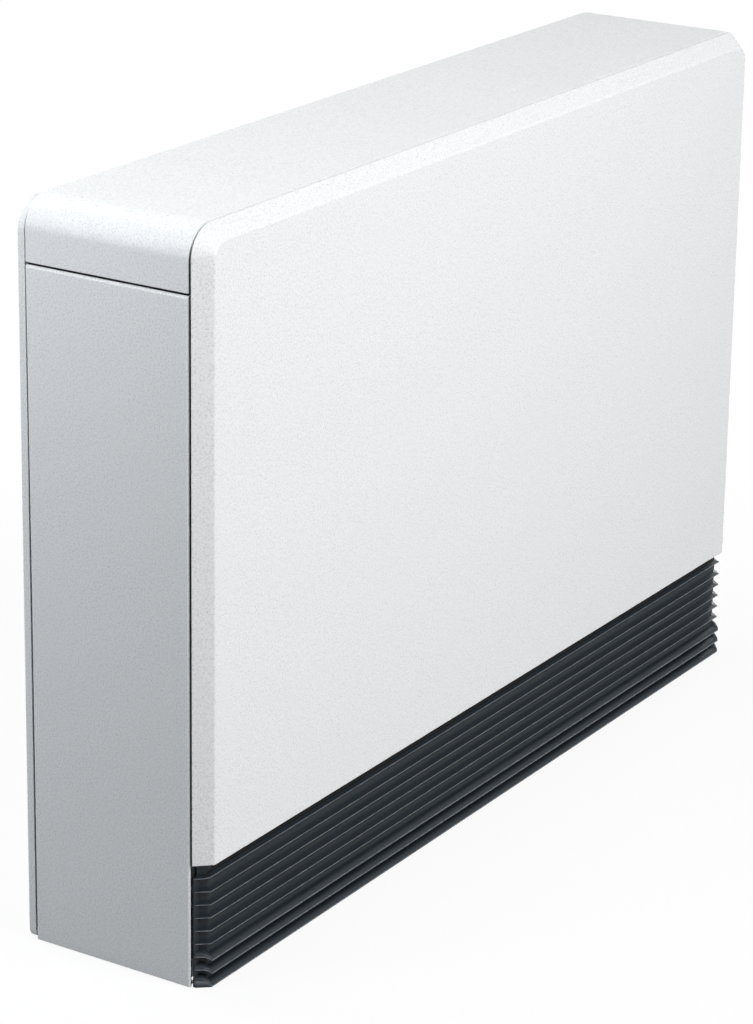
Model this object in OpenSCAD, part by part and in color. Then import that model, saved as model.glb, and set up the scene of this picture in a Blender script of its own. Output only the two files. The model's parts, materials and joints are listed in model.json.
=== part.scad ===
// Flat floor-standing storage heater with a fan, a bevelled front panel and a finned outlet grille.
// X runs along the heater, the front faces -Y and the floor is at Z = 0.

/* [Casing] */
// Width over the two side panels
case_w = 955; // [945:1:1100]
// Height over the top cover
case_h = 672; // [668:1:760]
// Depth from the front panel's face to the back of the rear plate
case_d = 190; // [188:0.5:210]
// Thickness of the painted sheet steel
sheet = 1.2; // [0.8:0.1:1.4]
// Radius of the casing's long top edges
round_r = 28; // [22:1:34]
// Outer radius of a folded sheet edge
fold_r = 2; // [1.6:0.1:3]
// Height of the top cover's flange on each side
cover_side = 54.8; // [45:1:70]
// Joint between the top cover and a side panel
cover_gap = 1.8; // [1:0.1:2.5]
// Joint between the front panel and the casing
seam_gap = 2.4; // [1.6:0.1:2.8]
// Width of the flanges folded in along the casing's front and rear edges
flange_w = 12; // [11:0.5:16]
// Height of the side panels' lower edges above the floor
skirt_z = 1; // [0.5:0.1:3]
// Flat strip left on a side panel's front flange beside the grille
rim_flat = 0.5; // [0.3:0.1:1]
// Flat strip left on that flange beside the void over the grille
void_flat = 2.6; // [2:0.1:4]

/* [Front panel] */
// Width of the bevel seen from the front
bevel_in = 13.5; // [10:0.5:18]
// Depth of the bevel from front to rear
bevel_deep = 14.3; // [12:0.1:18]
// Height of the front panel's lower edge
panel_low = 115; // [114:0.5:122]
// Width of the flange folded in behind the bevel
return_w = 10; // [8:0.5:10.5]

/* [Rear plate] */
// Depth of the rim round the rear plate
rear_rim = 7.7; // [6:0.1:9]
// Joint in front of that rim
rear_gap = 1.2; // [0.8:0.1:2]
// Width of the bead round the rear plate
bead_w = 8; // [6:0.5:10]
// How far the plate lies in front of its bead
rear_sink = 2.3; // [2:0.1:3]
// Drop of the rear plate's top edge below the cover
rear_drop = 4; // [2:0.5:6]
// Radius of the rear plate's lower corners
rear_foot_r = 9; // [8:0.5:12]

/* [Outlet grille] */
// Number of straight fins
fins = 6; // [4:1:6]
// Spacing of the fins
fin_pitch = 12.16; // [11.6:0.01:12.5]
// Height of the top fin's tip
fin_top_z = 102.2; // [101:0.1:104]
// How far a straight fin's tip lies behind the front panel's face
fin_back = 3.2; // [3:0.1:5]
// How far a straight fin stands out from the wall
fin_out = 5.3; // [4.6:0.1:6.2]
// How much further the drooping fins reach
fin_proud = 1.7; // [1:0.1:2.6]
// How far the fins' corner lies outside the panel's bevel corner
corner_out = 1.2; // [0.6:0.1:2]
// Number of drooping fins
low_fins = 3; // [2:1:3]
// Extra step down to the drooping fins
low_drop = 3; // [2:0.1:3]
// Drop of a straight fin's underside from tip to root
fin_drop = 1.2; // [0.8:0.1:2]
// Rise of a straight fin's top from tip to root
fin_rise = 1.6; // [1:0.1:2]
// Rise of a drooping fin's top from tip to root
low_rise = 4.6; // [3:0.1:5]
// Thickness of the grille's wall
grille_wall = 1.6; // [1.2:0.1:2.4]
// Joint between the grille's top edge and the front panel
grille_under = 7.6; // [5:0.1:7.6]
// Joint between the top of the grille's flanks and the front panel
cheek_under = 1.5; // [1:0.1:3]
// How far the inner front plate reaches below the front panel
plate_under = 8.8; // [8:0.1:14]
// Gap between the grille's ends and the casing's sides
grille_side_gap = 3; // [2:0.1:5]
// Height of one air slot
slot_h = 2; // [1.4:0.1:2.6]
// Width of one air slot
slot_w = 50; // [30:1:60]
// Width of the webs between air slots
slot_web = 6; // [4:0.5:10]

/* [Base] */
// Height of the foot rails
rail_h = 8; // [6:0.5:10]
// Width of a foot rail
rail_w = 40; // [30:1:50]
// Distance from the casing's side to a foot rail's centre line
rail_in = 57.5; // [50:0.5:80]
// Radius of the floor fixing holes
floor_hole_r = 4.5; // [3:0.1:5]
// Distance between the two holes of a rail
floor_hole_gap = 120; // [90:1:130]
// Height of the base tray's front lip
lip_h = 18; // [14:0.5:18]
// Height of the base tray's rear flange
tray_back_h = 32; // [24:1:34]
// Height of the fan chamber under the core
chamber_h = 97; // [95:0.5:100]

/* [Core] */
// Width of the compartment right of the core
room_w = 75.3; // [72:0.1:90]
// Air gap left of the core
left_gap = 13.5; // [10:0.5:30]
// Height of the casing's top over the core's insulation
top_gap = 32.6; // [30:0.1:40]
// Gap between the bricks and the front and rear insulation
core_gap = 10.7; // [8:0.05:12]
// Joint between two bricks
brick_joint = 0.2; // [0.1:0.1:0.5]
// Bricks side by side
columns = 3; // [2:1:4]
// Thickness of the front and rear insulation
wall_insulation = 32; // [28:0.5:34]
// Thickness of the insulation at the core's ends
end_insulation = 38; // [34:0.5:40]
// Thickness of the insulation under and over the core
slab_insulation = 34; // [28:0.5:36]
// Free height over the bricks
core_head = 8; // [4:0.5:12]
// Width of the air slots through the base insulation
air_slot = 8; // [5:0.5:9]

/* [Heating elements] */
// Radius of the element's tube
element_r = 4.25; // [3.5:0.05:5]
// Clearance between the tube and its groove
element_clear = 0.3; // [0.2:0.05:0.5]
// Radius of the hairpin bend
bend_r = 20; // [16:0.5:24]
// Radius of an element's terminal pin
pin_r = 2; // [1.5:0.1:2.5]
// Length of an element's terminal pin
pin_l = 12; // [9:0.5:14]
// How far an element's tube stands out of the partition plate
element_end = 24; // [14:0.5:28]
// Wall of a ceramic bush
bush_wall = 3; // [2:0.1:4]
// How far a ceramic bush stands out of the partition plate
bush_out = 6; // [4:0.5:10]

/* [Fan] */
// Height of the fan's shaft above the tray's floor
fan_up = 44.8; // [40:0.1:46]
// Distance from the fan's shaft to the rear plate
fan_back = 49.5; // [46:0.5:52]
// Radius of the rotors
rotor_r = 24; // [20:0.5:24.5]
// Gap between a rotor and the channel's end plate
rotor_gap = 6; // [4:0.5:12]
// Number of blades on a rotor
blades = 20; // [14:1:26]
// Radius of the fan's shaft
shaft_r = 3; // [2.5:0.1:4]
// Running clearance round shafts and pins
run_clear = 0.05; // [0.02:0.01:0.08]
// Gap between the rotors and the scroll
scroll_gap = 4; // [3:0.5:5]
// Distance from the casing's side to the end of the air channel
channel_in = 175.5; // [168:0.5:190]
// Radius of the motor's stator
stator_r = 25; // [20:0.5:26]
// Half the length of the motor's stack
stack_half = 20; // [14:1:24]

/* [Air duct] */
// Height of the duct's floor above the tray
duct_low = 36.8; // [34:0.1:40]
// Gap between the duct's roof and the core shelf
duct_under = 6.2; // [4:0.1:9]
// Length of the mixing flap
flap_l = 36; // [24:1:40]
// Thickness of the mixing flap
flap_t = 1.5; // [1:0.1:2]
// Radius of the flap's hinge pins
flap_pin_r = 2; // [1.5:0.1:2.5]

/* [Charge knob] */
// Distance of the knob's axis below the top of the side panel
knob_down = 40.4; // [40:0.2:60]
// Distance of the knob's axis from the middle of the casing
knob_y = 20; // [10:1:30]
// Radius of the knob
knob_r = 18; // [14:0.5:19]
// Depth of the dish round the knob
dish_deep = 15.5; // [12:0.5:18]
// Radius of the dish
dish_r = 28; // [27:0.5:28.5]
// Radius of the knob's spindle
spindle_r = 3; // [2.5:0.1:4]
// Half the height of the charge controller's box
control_half_z = 30; // [24:0.5:32]
// Half the depth of the charge controller's box
control_half_y = 34; // [24:0.5:36]
// Width of the charge controller's box
control_w = 36; // [30:0.5:40]
// Distance of the safety limiter below the knob
limiter_down = 110; // [105:1:115]
// Length of the core sensor inside the core
sensor_l = 110; // [60:1:160]

/* [Fixings] */
// Radius of a sheet metal screw's shank
screw_r = 1.75; // [1.5:0.05:2]
// Radius of the clearance hole round that shank
screw_hole_r = 2; // [2:0.05:2.4]
// Radius of a screw's head
head_r = 3.5; // [3:0.1:4]
// Height of a screw's head
head_h = 1.4; // [1:0.1:1.5]
// Radius of the two wall fixing holes
wall_hole_r = 3.5; // [2.5:0.1:4.5]
// Distance from the casing's side to a wall fixing hole
wall_hole_in = 77.5; // [70:0.5:120]
// Radius of the cable gland's bore
gland_r = 6; // [4:0.1:8]
// Distance from the casing's side to the cable gland
gland_in = 37.5; // [35:0.5:40]

/* [Hidden] */

WHITE = [0.93, 0.94, 0.94];
SLATE = [0.16, 0.19, 0.21];
STEEL = [0.68, 0.70, 0.71];
BOARD = [0.86, 0.83, 0.76];
BRICK = [0.45, 0.33, 0.27];

$fn = 64;
eps = 0.01;
fit = 0.3;
layers = 6;
hw = case_w / 2;
back_y = case_d / 2;
face_y = -case_d / 2;
seam_y = face_y + bevel_deep;
shell_front = seam_y + seam_gap;
shell_back = back_y - rear_rim - rear_gap;
plate_front = shell_front + sheet;
plate_back = plate_front + sheet;
rear_in = back_y - rear_sink - sheet;
floor_z = rail_h + sheet;
side_top = case_h - cover_side - cover_gap;
shelf_z = floor_z + chamber_h;
shelf_top = shelf_z + sheet;

// Core box between the left air gap and the right-hand compartment
core_left = left_gap - hw;
part_x = hw - room_w;
core_right = part_x - sheet;
bricks_left = core_left + end_insulation;
bricks_right = core_right - end_insulation;
brick_l = (bricks_right - bricks_left) / columns;
front_in = plate_back + wall_insulation;
rear_board = rear_in - wall_insulation;
core_y = (front_in + rear_board) / 2;
brick_d = rear_board - front_in - 2 * core_gap;
core_low = shelf_top + slab_insulation;
top_z = case_h - top_gap;
head_top = top_z - slab_insulation;
brick_h = (head_top - core_head - core_low) / layers;
groove_r = element_r + element_clear;
leg_y = [core_y - bend_r, core_y + bend_r];
function element_z(n) = core_low + (2 * n + 1) * brick_h;

// Fan and duct
wall_y = face_y + fin_back + fin_out;
fan_y = rear_in - fan_back;
fan_z = floor_z + fan_up;
scroll_r = rotor_r + scroll_gap;
duct_back = fan_y - scroll_r - scroll_gap;
duct_front = wall_y + grille_wall + 2.8;
roof_z = shelf_z - duct_under;
duct_z = floor_z + duct_low;
channel_half = hw - channel_in;
motor_half = stack_half + 12;
rotor_in = motor_half + 8;
rotor_l = channel_half - rotor_in - rotor_gap;
bush_r = 2 * shaft_r;
rubber_r = bush_r + 4;
flap_y = duct_back - 16;
flap_z = roof_z - 6;
lever_x = -channel_half - sheet - 8;

// Grille: s counts inward from the tip line of the drooping fins
tip_y = face_y + fin_back - fin_proud;
wall_s = fin_proud + fin_out;
back_s = wall_s + grille_wall;
corner_x = hw - bevel_in + corner_out;
flank_run = [hw - grille_side_gap - corner_x, bevel_deep - fin_back];
flank_angle = atan(flank_run[0] / flank_run[1]);
grille_back = seam_y + seam_gap / 2;
grille_low = skirt_z + 0.2;
grille_top = panel_low - grille_under;
cheek_top = panel_low - cheek_under;
plate_low = panel_low - plate_under;
tip_half = 0.3;
function fin_z(i) = fin_top_z - i * fin_pitch - (i < fins ? 0 : low_drop);

// Right-hand compartment
room_y = core_y;
knob_z = side_top - knob_down;
dish_x = hw - dish_deep;
control_x = part_x + control_w;
limiter_z = knob_z - limiter_down;
gland_x = hw - gland_in;
gland_z = floor_z + tray_back_h + 19;

// Fixings
wall_x = hw - wall_hole_in;
rail_x = hw - rail_in;
low_screw_x = wall_x * [-1, -0.5, 0, 0.5, 0.9];
low_screw_z = rail_h + tray_back_h - 8;
high_screw_x = wall_x * [-0.75, 0, 0.75];
high_screw_up = 12;
high_screw_over = 8;
high_screw_z = top_z + sheet + high_screw_up;

module box(low, high) {
    translate(low) cube(high - low);
}

module rod_x(x0, x1, y, z, r) {
    translate([x0, y, z]) rotate([0, 90, 0]) cylinder(h = x1 - x0, r = r);
}

module rod_y(y0, y1, x, z, r) {
    translate([x, y1, z]) rotate([90, 0, 0]) cylinder(h = y1 - y0, r = r);
}

module rod_z(z0, z1, x, y, r) {
    translate([x, y, z0]) cylinder(h = z1 - z0, r = r);
}

// Strip with two rounded outer corners; x is the way in from the outside, y the way to the rear
module rounded_strip(u, y0, y1, w, r) {
    translate([u + r, y0]) square([w - r, y1 - y0]);
    translate([u, y0 + r]) square([w, y1 - y0 - 2 * r]);
    for (y = [y0 + r, y1 - r]) translate([u + r, y]) circle(r);
}

// Section of a sheet folded in along its front and rear edges
module folded_section(front_w, rear_w) {
    widest = max(front_w, rear_w);
    difference() {
        rounded_strip(0, shell_front, shell_back, widest, fold_r);
        rounded_strip(sheet, shell_front + sheet, shell_back - sheet, widest, fold_r - sheet);
        translate([front_w, shell_front - 1]) square([widest, (shell_back - shell_front) / 2]);
        translate([rear_w, 0]) square([widest, shell_back + 1]);
    }
}

// Runs a section up both sides and over the top of the casing
module arch(z_low) {
    for (side = [0, 1]) mirror([side, 0, 0]) {
        translate([-hw, 0, z_low]) linear_extrude(case_h - round_r - z_low) children();
        translate([round_r - hw, 0, case_h - round_r]) rotate([-90, 0, 0]) rotate([0, 0, 180])
            rotate_extrude(angle = 90) translate([round_r, 0]) mirror([1, 0]) children();
    }
    translate([round_r - hw, 0, case_h]) rotate([0, 90, 0]) linear_extrude(2 * (hw - round_r)) children();
}

// Front outline of the casing, drawn in by an inset, down to a lower edge
module arch_outline(inset, z_low) {
    translate([inset - hw, z_low]) square([2 * (hw - inset), case_h - round_r - z_low]);
    translate([round_r - hw, z_low]) square([2 * (hw - round_r), case_h - inset - z_low]);
    for (side = [-1, 1]) translate([side * (hw - round_r), case_h - round_r]) circle(round_r - inset);
}

module front_panel() {
    slope = norm([bevel_in, bevel_deep]);
    edge_u = sheet * slope / bevel_deep;
    function inner_u(y) = (sheet * slope + bevel_in * (seam_y - y)) / bevel_deep;
    color(WHITE) difference() {
        union() {
            arch(panel_low) polygon([[0, seam_y], [bevel_in, face_y], [inner_u(face_y + sheet), face_y],
                [inner_u(face_y + sheet), face_y + sheet], [inner_u(seam_y - sheet), seam_y - sheet],
                [edge_u + return_w, seam_y - sheet], [edge_u + return_w, seam_y]]);
            translate([0, face_y + sheet, 0]) rotate([90, 0, 0])
                linear_extrude(sheet) arch_outline(bevel_in, panel_low);
            translate([0, 0, panel_low]) linear_extrude(sheet)
                polygon([[-hw, seam_y], [bevel_in - hw, face_y], [hw - bevel_in, face_y], [hw, seam_y]]);
        }
        for (x = panel_screw_x) rod_z(panel_low - 1, panel_low + sheet + 1, x, panel_screw_y, screw_hole_r);
    }
}

module top_cover() {
    color(WHITE) arch(case_h - cover_side) folded_section(flange_w, flange_w);
}

// Takes the side panel's front flange away from u inward, up to a height
module front_cut(u, z_high) {
    box([u - hw, shell_front - 1, skirt_z - 1], [side_flange + 1 - hw, shell_front + sheet + fit, z_high]);
}

// Side panel with folded edges and a tongue that closes the joint under the cover
side_flange = flange_w + 4;
tongue_u = 5;
tongue_up = 24;
module side_panel() {
    fold_front = plate_back + 0.2;
    fold_back = shell_back - fold_r;
    difference() {
        union() {
            translate([-hw, 0, skirt_z]) linear_extrude(side_top - skirt_z)
                folded_section(side_flange, flange_w);
            box([-hw + sheet / 2, fold_front, side_top - sheet],
                [tongue_u + sheet - hw, fold_back, side_top]);
            box([tongue_u - hw, fold_front, side_top - sheet],
                [tongue_u + sheet - hw, fold_back, side_top + tongue_up]);
            box([-hw + sheet / 2, fold_front, skirt_z], [flange_w - hw, fold_back, skirt_z + sheet]);
        }
        front_cut(fold_r + rim_flat, fin_top_z + tip_half);
        front_cut(fold_r + void_flat, panel_low + 1);
        for (z = casing_screw_z)
            rod_y(shell_front - 1, shell_front + sheet + 1, side_screw_u - hw, z, screw_hole_r);
    }
}

module left_side_panel() {
    color(WHITE) side_panel();
}

module right_side_panel() {
    color(WHITE) difference() {
        mirror([1, 0, 0]) side_panel();
        rod_x(hw - 3 * sheet, hw + 1, knob_y, knob_z, dish_r + 2 + fit);
    }
}

// Outline of the rear plate, drawn in by an inset
module rear_outline(inset) {
    top = case_h - rear_drop;
    top_r = round_r - 2;
    translate([inset - hw, skirt_z + rear_foot_r])
        square([2 * (hw - inset), top - top_r - skirt_z - rear_foot_r]);
    translate([top_r - hw, top - top_r - 1]) square([2 * (hw - top_r), top_r - inset + 1]);
    translate([rear_foot_r - hw, skirt_z + inset]) square([2 * (hw - rear_foot_r), rear_foot_r - inset + 1]);
    for (side = [-1, 1]) {
        translate([side * (hw - top_r), top - top_r]) circle(top_r - inset);
        translate([side * (hw - rear_foot_r), skirt_z + rear_foot_r]) circle(max(rear_foot_r - inset, eps));
    }
}

module rear_layer(y0, y1, outer, inner) {
    translate([0, y1, 0]) rotate([90, 0, 0]) linear_extrude(y1 - y0) difference() {
        rear_outline(outer);
        if (inner > 0) rear_outline(inner);
    }
}

module rear_plate() {
    color(WHITE) difference() {
        union() {
            rear_layer(back_y - rear_rim, back_y, 0, sheet);
            rear_layer(back_y - sheet, back_y, 0, bead_w);
            rear_layer(rear_in, back_y, bead_w - sheet, bead_w);
            rear_layer(rear_in, rear_in + sheet, bead_w - sheet, 0);
        }
        for (x = low_screw_x) rod_y(rear_in - 1, back_y, x, low_screw_z, screw_hole_r);
        for (x = high_screw_x) rod_y(rear_in - 1, back_y, x, high_screw_z, screw_hole_r);
        for (side = [-1, 1])
            rod_y(rear_in - 1, back_y, side * wall_x, high_screw_z, wall_hole_r);
        rod_y(rear_in - 1, back_y, gland_x, gland_z, gland_body_r + run_clear);
    }
}

// Base tray: floor, front lip, side flanges and a rear flange between the side panels
tray_front = plate_back + 0.2;
tray_side = hw - sheet;
tray_back_half = hw - flange_w - 0.5;
tray_flange = 16;
module base_tray() {
    tray_mid = shell_back - fold_r - 0.2;
    color(STEEL) difference() {
        union() {
            box([-tray_side, tray_front, rail_h], [tray_side, tray_mid, floor_z]);
            box([-tray_back_half, tray_mid - 1, rail_h], [tray_back_half, rear_in, floor_z]);
            box([-tray_side, tray_front, rail_h], [tray_side, tray_front + sheet, rail_h + lip_h]);
            box([-tray_back_half, rear_in - sheet, rail_h], [tray_back_half, rear_in, rail_h + tray_back_h]);
            for (side = [0, 1]) mirror([side, 0, 0])
                box([-tray_side, tray_front, rail_h], [sheet - tray_side, tray_mid, rail_h + tray_flange]);
        }
        for (x = low_screw_x) rod_y(rear_in - sheet - 1, rear_in + 1, x, low_screw_z, screw_hole_r);
        floor_holes();
    }
}

module floor_holes() {
    for (x = [-rail_x, rail_x], y = [-floor_hole_gap / 2, floor_hole_gap / 2])
        rod_z(-1, floor_z + 1, x, y, floor_hole_r);
}

module foot_rail(x) {
    rail_half = floor_hole_gap / 2 + 12;
    color("dimgray") difference() {
        box([x - rail_w / 2, -rail_half, 0], [x + rail_w / 2, rail_half, rail_h]);
        floor_holes();
    }
}

module left_foot_rail() {
    foot_rail(-rail_x);
}

module right_foot_rail() {
    foot_rail(rail_x);
}

// Outline of the fins from the grille's foot to its top; x is the way in, y the height.
// The lowest fin is solid.
curve = [0, 0.25, 0.5, 0.75, 1];
under_bend = 1.8;
over_bend = 1.6;
function straight_fin(i) = [
    for (f = [1, 0.75, 0.5, 0.25, 0])
        [fin_proud + fin_out * f, fin_z(i) - tip_half - fin_drop * pow(f, under_bend)],
    for (f = curve) [fin_proud + fin_out * f, fin_z(i) + tip_half + fin_rise * pow(f, over_bend)]
];
function drooping_fin(i) = [
    if (i < fins + low_fins - 1) [wall_s, fin_z(i) - tip_half],
    [0, fin_z(i) - tip_half],
    for (f = curve) [wall_s * f, fin_z(i) + tip_half + low_rise * sqrt(1 - pow(1 - f, 2))]
];
comb = [
    [wall_s, grille_low],
    [2 * tip_half, grille_low],
    for (i = [fins + low_fins - 1 : -1 : 0]) each (i < fins ? straight_fin(i) : drooping_fin(i)),
    [wall_s, grille_top]
];
function fin_under(i) = fin_z(i) - tip_half - (i < fins ? fin_drop : 0);

// Plan of the grille, drawn in by s from the tip line of the drooping fins
function plan_corner(s) = corner_x + (fin_proud - s) * tan((90 - flank_angle) / 2);
function plan_end(s, y) = plan_corner(s) + (y - (tip_y + s)) * tan(flank_angle);
module grille_plan(s, back) {
    front = tip_y + s;
    polygon([[-plan_corner(s), front], [plan_corner(s), front], [plan_end(s, back), back],
        [-plan_end(s, back), back]]);
}

// Four arms behind the wall clip over the base tray's lip. On each flank a web closes the fins' ends
// and the wall rises to the front panel.
arm_x = hw * [-0.8, -0.32, 0.32, 0.8];
arm_half = 6;
arm_h = 3.5;
arm_grip = 5;
end_blank = 12;
module outlet_grille() {
    reach = 2 * case_w;
    bays = floor((2 * (corner_x - end_blank) + slot_web) / (slot_w + slot_web));
    arm_z = rail_h + lip_h + fit;
    color(SLATE) union() {
        difference() {
            intersection() {
                translate([-hw, tip_y, 0]) rotate([90, 0, 90])
                    linear_extrude(case_w) polygon([[reach, grille_low], each comb, [reach, grille_top]]);
                for (side = [0, 1]) mirror([side, 0, 0])
                    translate([plan_corner(0), tip_y, 0]) rotate([0, 0, 180 - flank_angle])
                        rotate([90, 0, 0]) linear_extrude(reach, center = true)
                            polygon([[reach, grille_low], each comb, [reach, grille_top]]);
                box([grille_side_gap - hw, tip_y - 1, 0],
                    [hw - grille_side_gap, grille_back, grille_top + 1]);
            }
            linear_extrude(grille_top + 1) grille_plan(back_s, grille_back + 20);
            for (i = [0 : fins + low_fins - 2], b = [0 : bays - 1])
                translate([(b - (bays - 1) / 2) * (slot_w + slot_web) - slot_w / 2,
                    wall_y - 1, fin_under(i) - slot_h]) cube([slot_w, grille_wall + 2, slot_h]);
        }
        for (side = [0, 1]) mirror([side, 0, 0])
            box([grille_side_gap - hw, grille_back - grille_wall, grille_low],
                [-plan_end(back_s, grille_back), grille_back, fin_top_z + tip_half]);
        for (side = [0, 1]) mirror([side, 0, 0]) intersection() {
            linear_extrude(cheek_top) difference() {
                grille_plan(wall_s, grille_back);
                grille_plan(back_s, grille_back + 20);
            }
            box([grille_side_gap - hw, tip_y, grille_top - 1],
                [-plan_corner(back_s), grille_back, cheek_top]);
        }
        for (x = arm_x) box([x - arm_half, wall_y + grille_wall - eps, arm_z],
            [x + arm_half, tray_front + arm_grip, arm_z + arm_h]);
    }
}

// Lint filter: a framed grid clipped behind the lower fins
module lint_filter() {
    filter_half = corner_x - 24;
    low = rail_h + 0.5;
    high = rail_h + lip_h - 0.5;
    cell = 20;
    cells = floor((2 * filter_half - 2) / cell);
    y0 = wall_y + grille_wall;
    color("dimgray") difference() {
        box([-filter_half, y0, low], [filter_half, y0 + 1.5, high]);
        for (i = [0 : cells - 1])
            translate([(i - cells / 2) * cell + 1, y0 - 1, low + 2]) cube([cell - 2, 4, high - low - 4]);
    }
}

// Brackets that carry the front panel on the inner plate, and the screws of the lower pair
bracket_w = 30;
bracket_in = 120;
bracket_x = hw - bracket_in;
bracket_down = 90;
bracket_high_z = case_h - bracket_down;
bracket_t = 1.5;
panel_screw_x = [-bracket_x, bracket_x];
panel_screw_y = (face_y + sheet + plate_front) / 2;
module panel_bracket(x, z, drilled) {
    y0 = face_y + sheet;
    difference() {
        union() {
            box([x - bracket_w / 2, y0, z], [x + bracket_w / 2, plate_front, z + bracket_t]);
            box([x - bracket_w / 2, y0, z], [x + bracket_w / 2, y0 + bracket_t, z + 22]);
            box([x - bracket_w / 2, plate_front - bracket_t, z], [x + bracket_w / 2, plate_front, z + 14]);
        }
        if (drilled) rod_z(z - 1, z + bracket_t + 1, x, panel_screw_y, screw_hole_r);
    }
}

module panel_brackets() {
    color(STEEL) for (x = panel_screw_x) {
        panel_bracket(x, panel_low + sheet, true);
        panel_bracket(x, bracket_high_z, false);
    }
}

module panel_screws() {
    color(STEEL) for (x = panel_screw_x) {
        rod_z(panel_low - head_h, panel_low, x, panel_screw_y, head_r);
        rod_z(panel_low - eps, panel_low + 10, x, panel_screw_y, screw_r);
    }
}

side_screw_u = flange_w - 2;
casing_screw_z = side_top * [0.3, 0.6, 0.93];
module casing_screws() {
    color(STEEL) for (side = [-1, 1], z = casing_screw_z) {
        rod_y(shell_front - head_h, shell_front, side * (hw - side_screw_u), z, head_r);
        rod_y(shell_front - eps, shell_front + 8, side * (hw - side_screw_u), z, screw_r);
    }
}

module rear_screw(x, z) {
    rod_y(rear_in + sheet, rear_in + sheet + head_h, x, z, head_r);
    rod_y(rear_in - 8, rear_in + sheet + eps, x, z, screw_r);
}

module rear_screws() {
    color(STEEL) {
        for (x = low_screw_x) rear_screw(x, low_screw_z);
        for (x = high_screw_x) rear_screw(x, high_screw_z);
    }
}

module inner_front_plate() {
    inset = 3;
    color(STEEL) difference() {
        translate([0, plate_back, 0]) rotate([90, 0, 0]) linear_extrude(sheet) arch_outline(inset, plate_low);
        for (side = [-1, 1], z = casing_screw_z)
            rod_y(plate_front - 1, plate_back + 1, side * (hw - side_screw_u), z, screw_hole_r);
    }
}

module inner_top_plate() {
    color(STEEL) difference() {
        union() {
            box([core_left, plate_back, top_z], [part_x, rear_in, top_z + sheet]);
            box([core_left, rear_in - sheet, top_z], [part_x, rear_in, high_screw_z + high_screw_over]);
        }
        for (x = high_screw_x) rod_y(rear_in - sheet - 1, rear_in + 1, x, high_screw_z, screw_hole_r);
        for (x = [-wall_x, wall_x]) rod_y(rear_in - sheet - 1, rear_in + 1, x, high_screw_z, wall_hole_r + 4);
    }
}

module inner_left_plate() {
    color(STEEL) box([core_left - sheet, tray_front + sheet, floor_z],
        [core_left, shell_back - fold_r, top_z]);
}

module partition_plate() {
    color(STEEL) difference() {
        box([core_right, plate_back, floor_z + tray_back_h], [part_x, rear_in - 2, top_z]);
        for (n = [0 : layers / 2 - 1], y = leg_y)
            rod_x(core_right - 1, part_x + 1, y, element_z(n), bush_out_r + run_clear);
        rod_x(core_right - 1, part_x + 1, sensor_y, limiter_z, sensor_r + element_clear);
    }
}

// Shelf under the core: a plate on two end legs and two inner legs
shelf_slots = channel_half * [-0.75, -0.25, 0.25, 0.75];
slot_half = channel_half / 5;
module air_slots(z0, z1) {
    for (x = shelf_slots, y = [front_in + 1, rear_board - 1 - air_slot])
        box([x - slot_half, y, z0], [x + slot_half, y + air_slot, z1]);
}

leg_out = 38;
leg_x = channel_half + leg_out;
module core_shelf() {
    color(STEEL) difference() {
        union() {
            box([core_left, plate_back, shelf_z], [core_right, rear_in, shelf_top]);
            for (x = [core_left, -leg_x, leg_x, core_right - sheet])
                box([x, plate_back + 4, floor_z], [x + sheet, rear_in - 6, shelf_z + eps]);
        }
        air_slots(shelf_z - 1, shelf_top + 1);
    }
}

module insulation_front() {
    color(BOARD) box([core_left, plate_back, shelf_top], [core_right, front_in, head_top]);
}

module insulation_rear() {
    color(BOARD) box([core_left, rear_board, shelf_top], [core_right, rear_in, head_top]);
}

module insulation_base() {
    color(BOARD) difference() {
        box([core_left, front_in, shelf_top], [core_right, rear_board, core_low]);
        air_slots(shelf_top - 1, core_low + 1);
    }
}

module insulation_top() {
    color(BOARD) box([core_left, plate_back, head_top], [core_right, rear_in, top_z]);
}

module insulation_left() {
    pocket = bend_r + element_r + 2;
    color(BOARD) difference() {
        box([core_left, front_in, core_low], [bricks_left, rear_board, head_top]);
        for (n = [0 : layers / 2 - 1])
            box([bricks_left - pocket, core_y - pocket, element_z(n) - groove_r],
                [bricks_left + 1, core_y + pocket, element_z(n) + groove_r]);
    }
}

module insulation_right() {
    color(BOARD) difference() {
        box([bricks_right, front_in, core_low], [core_right, rear_board, head_top]);
        for (n = [0 : layers / 2 - 1], y = leg_y)
            rod_x(bricks_right - 1, core_right + 1, y, element_z(n), bush_out_r + run_clear);
        rod_x(bricks_right - 1, core_right + 1, sensor_y, limiter_z, sensor_r + element_clear);
    }
}

// Storage bricks: grooves for the elements and a vertical air slot in each
module storage_bricks() {
    color(BRICK) for (i = [0 : columns - 1], j = [0 : layers - 1]) {
        x0 = bricks_left + i * brick_l;
        z0 = core_low + j * brick_h;
        groove_z = z0 + (j % 2 == 0 ? brick_h : 0);
        difference() {
            box([x0, core_y - brick_d / 2, z0],
                [x0 + brick_l - brick_joint, core_y + brick_d / 2, z0 + brick_h - brick_joint]);
            for (y = leg_y) rod_x(x0 - 1, x0 + brick_l + 1, y, groove_z, groove_r);
            box([x0 + brick_l / 4, core_y - air_slot / 2, z0 - 1],
                [x0 + brick_l * 3 / 4, core_y + air_slot / 2, z0 + brick_h + 1]);
        }
    }
}

// Hairpin heating element with two terminal pins in the right-hand compartment
module heating_element(n) {
    z = element_z(n);
    end_x = part_x + element_end;
    color("silver") union() {
        translate([bricks_left, core_y, z]) rotate([0, 0, 90]) rotate_extrude(angle = 180)
            translate([bend_r, 0]) circle(element_r);
        for (y = leg_y) {
            rod_x(bricks_left, end_x, y, z, element_r);
            rod_x(end_x - 1, end_x + pin_l, y, z, pin_r);
        }
    }
}

module heating_element_lower() {
    heating_element(0);
}

module heating_element_middle() {
    heating_element(1);
}

module heating_element_upper() {
    heating_element(2);
}

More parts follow.
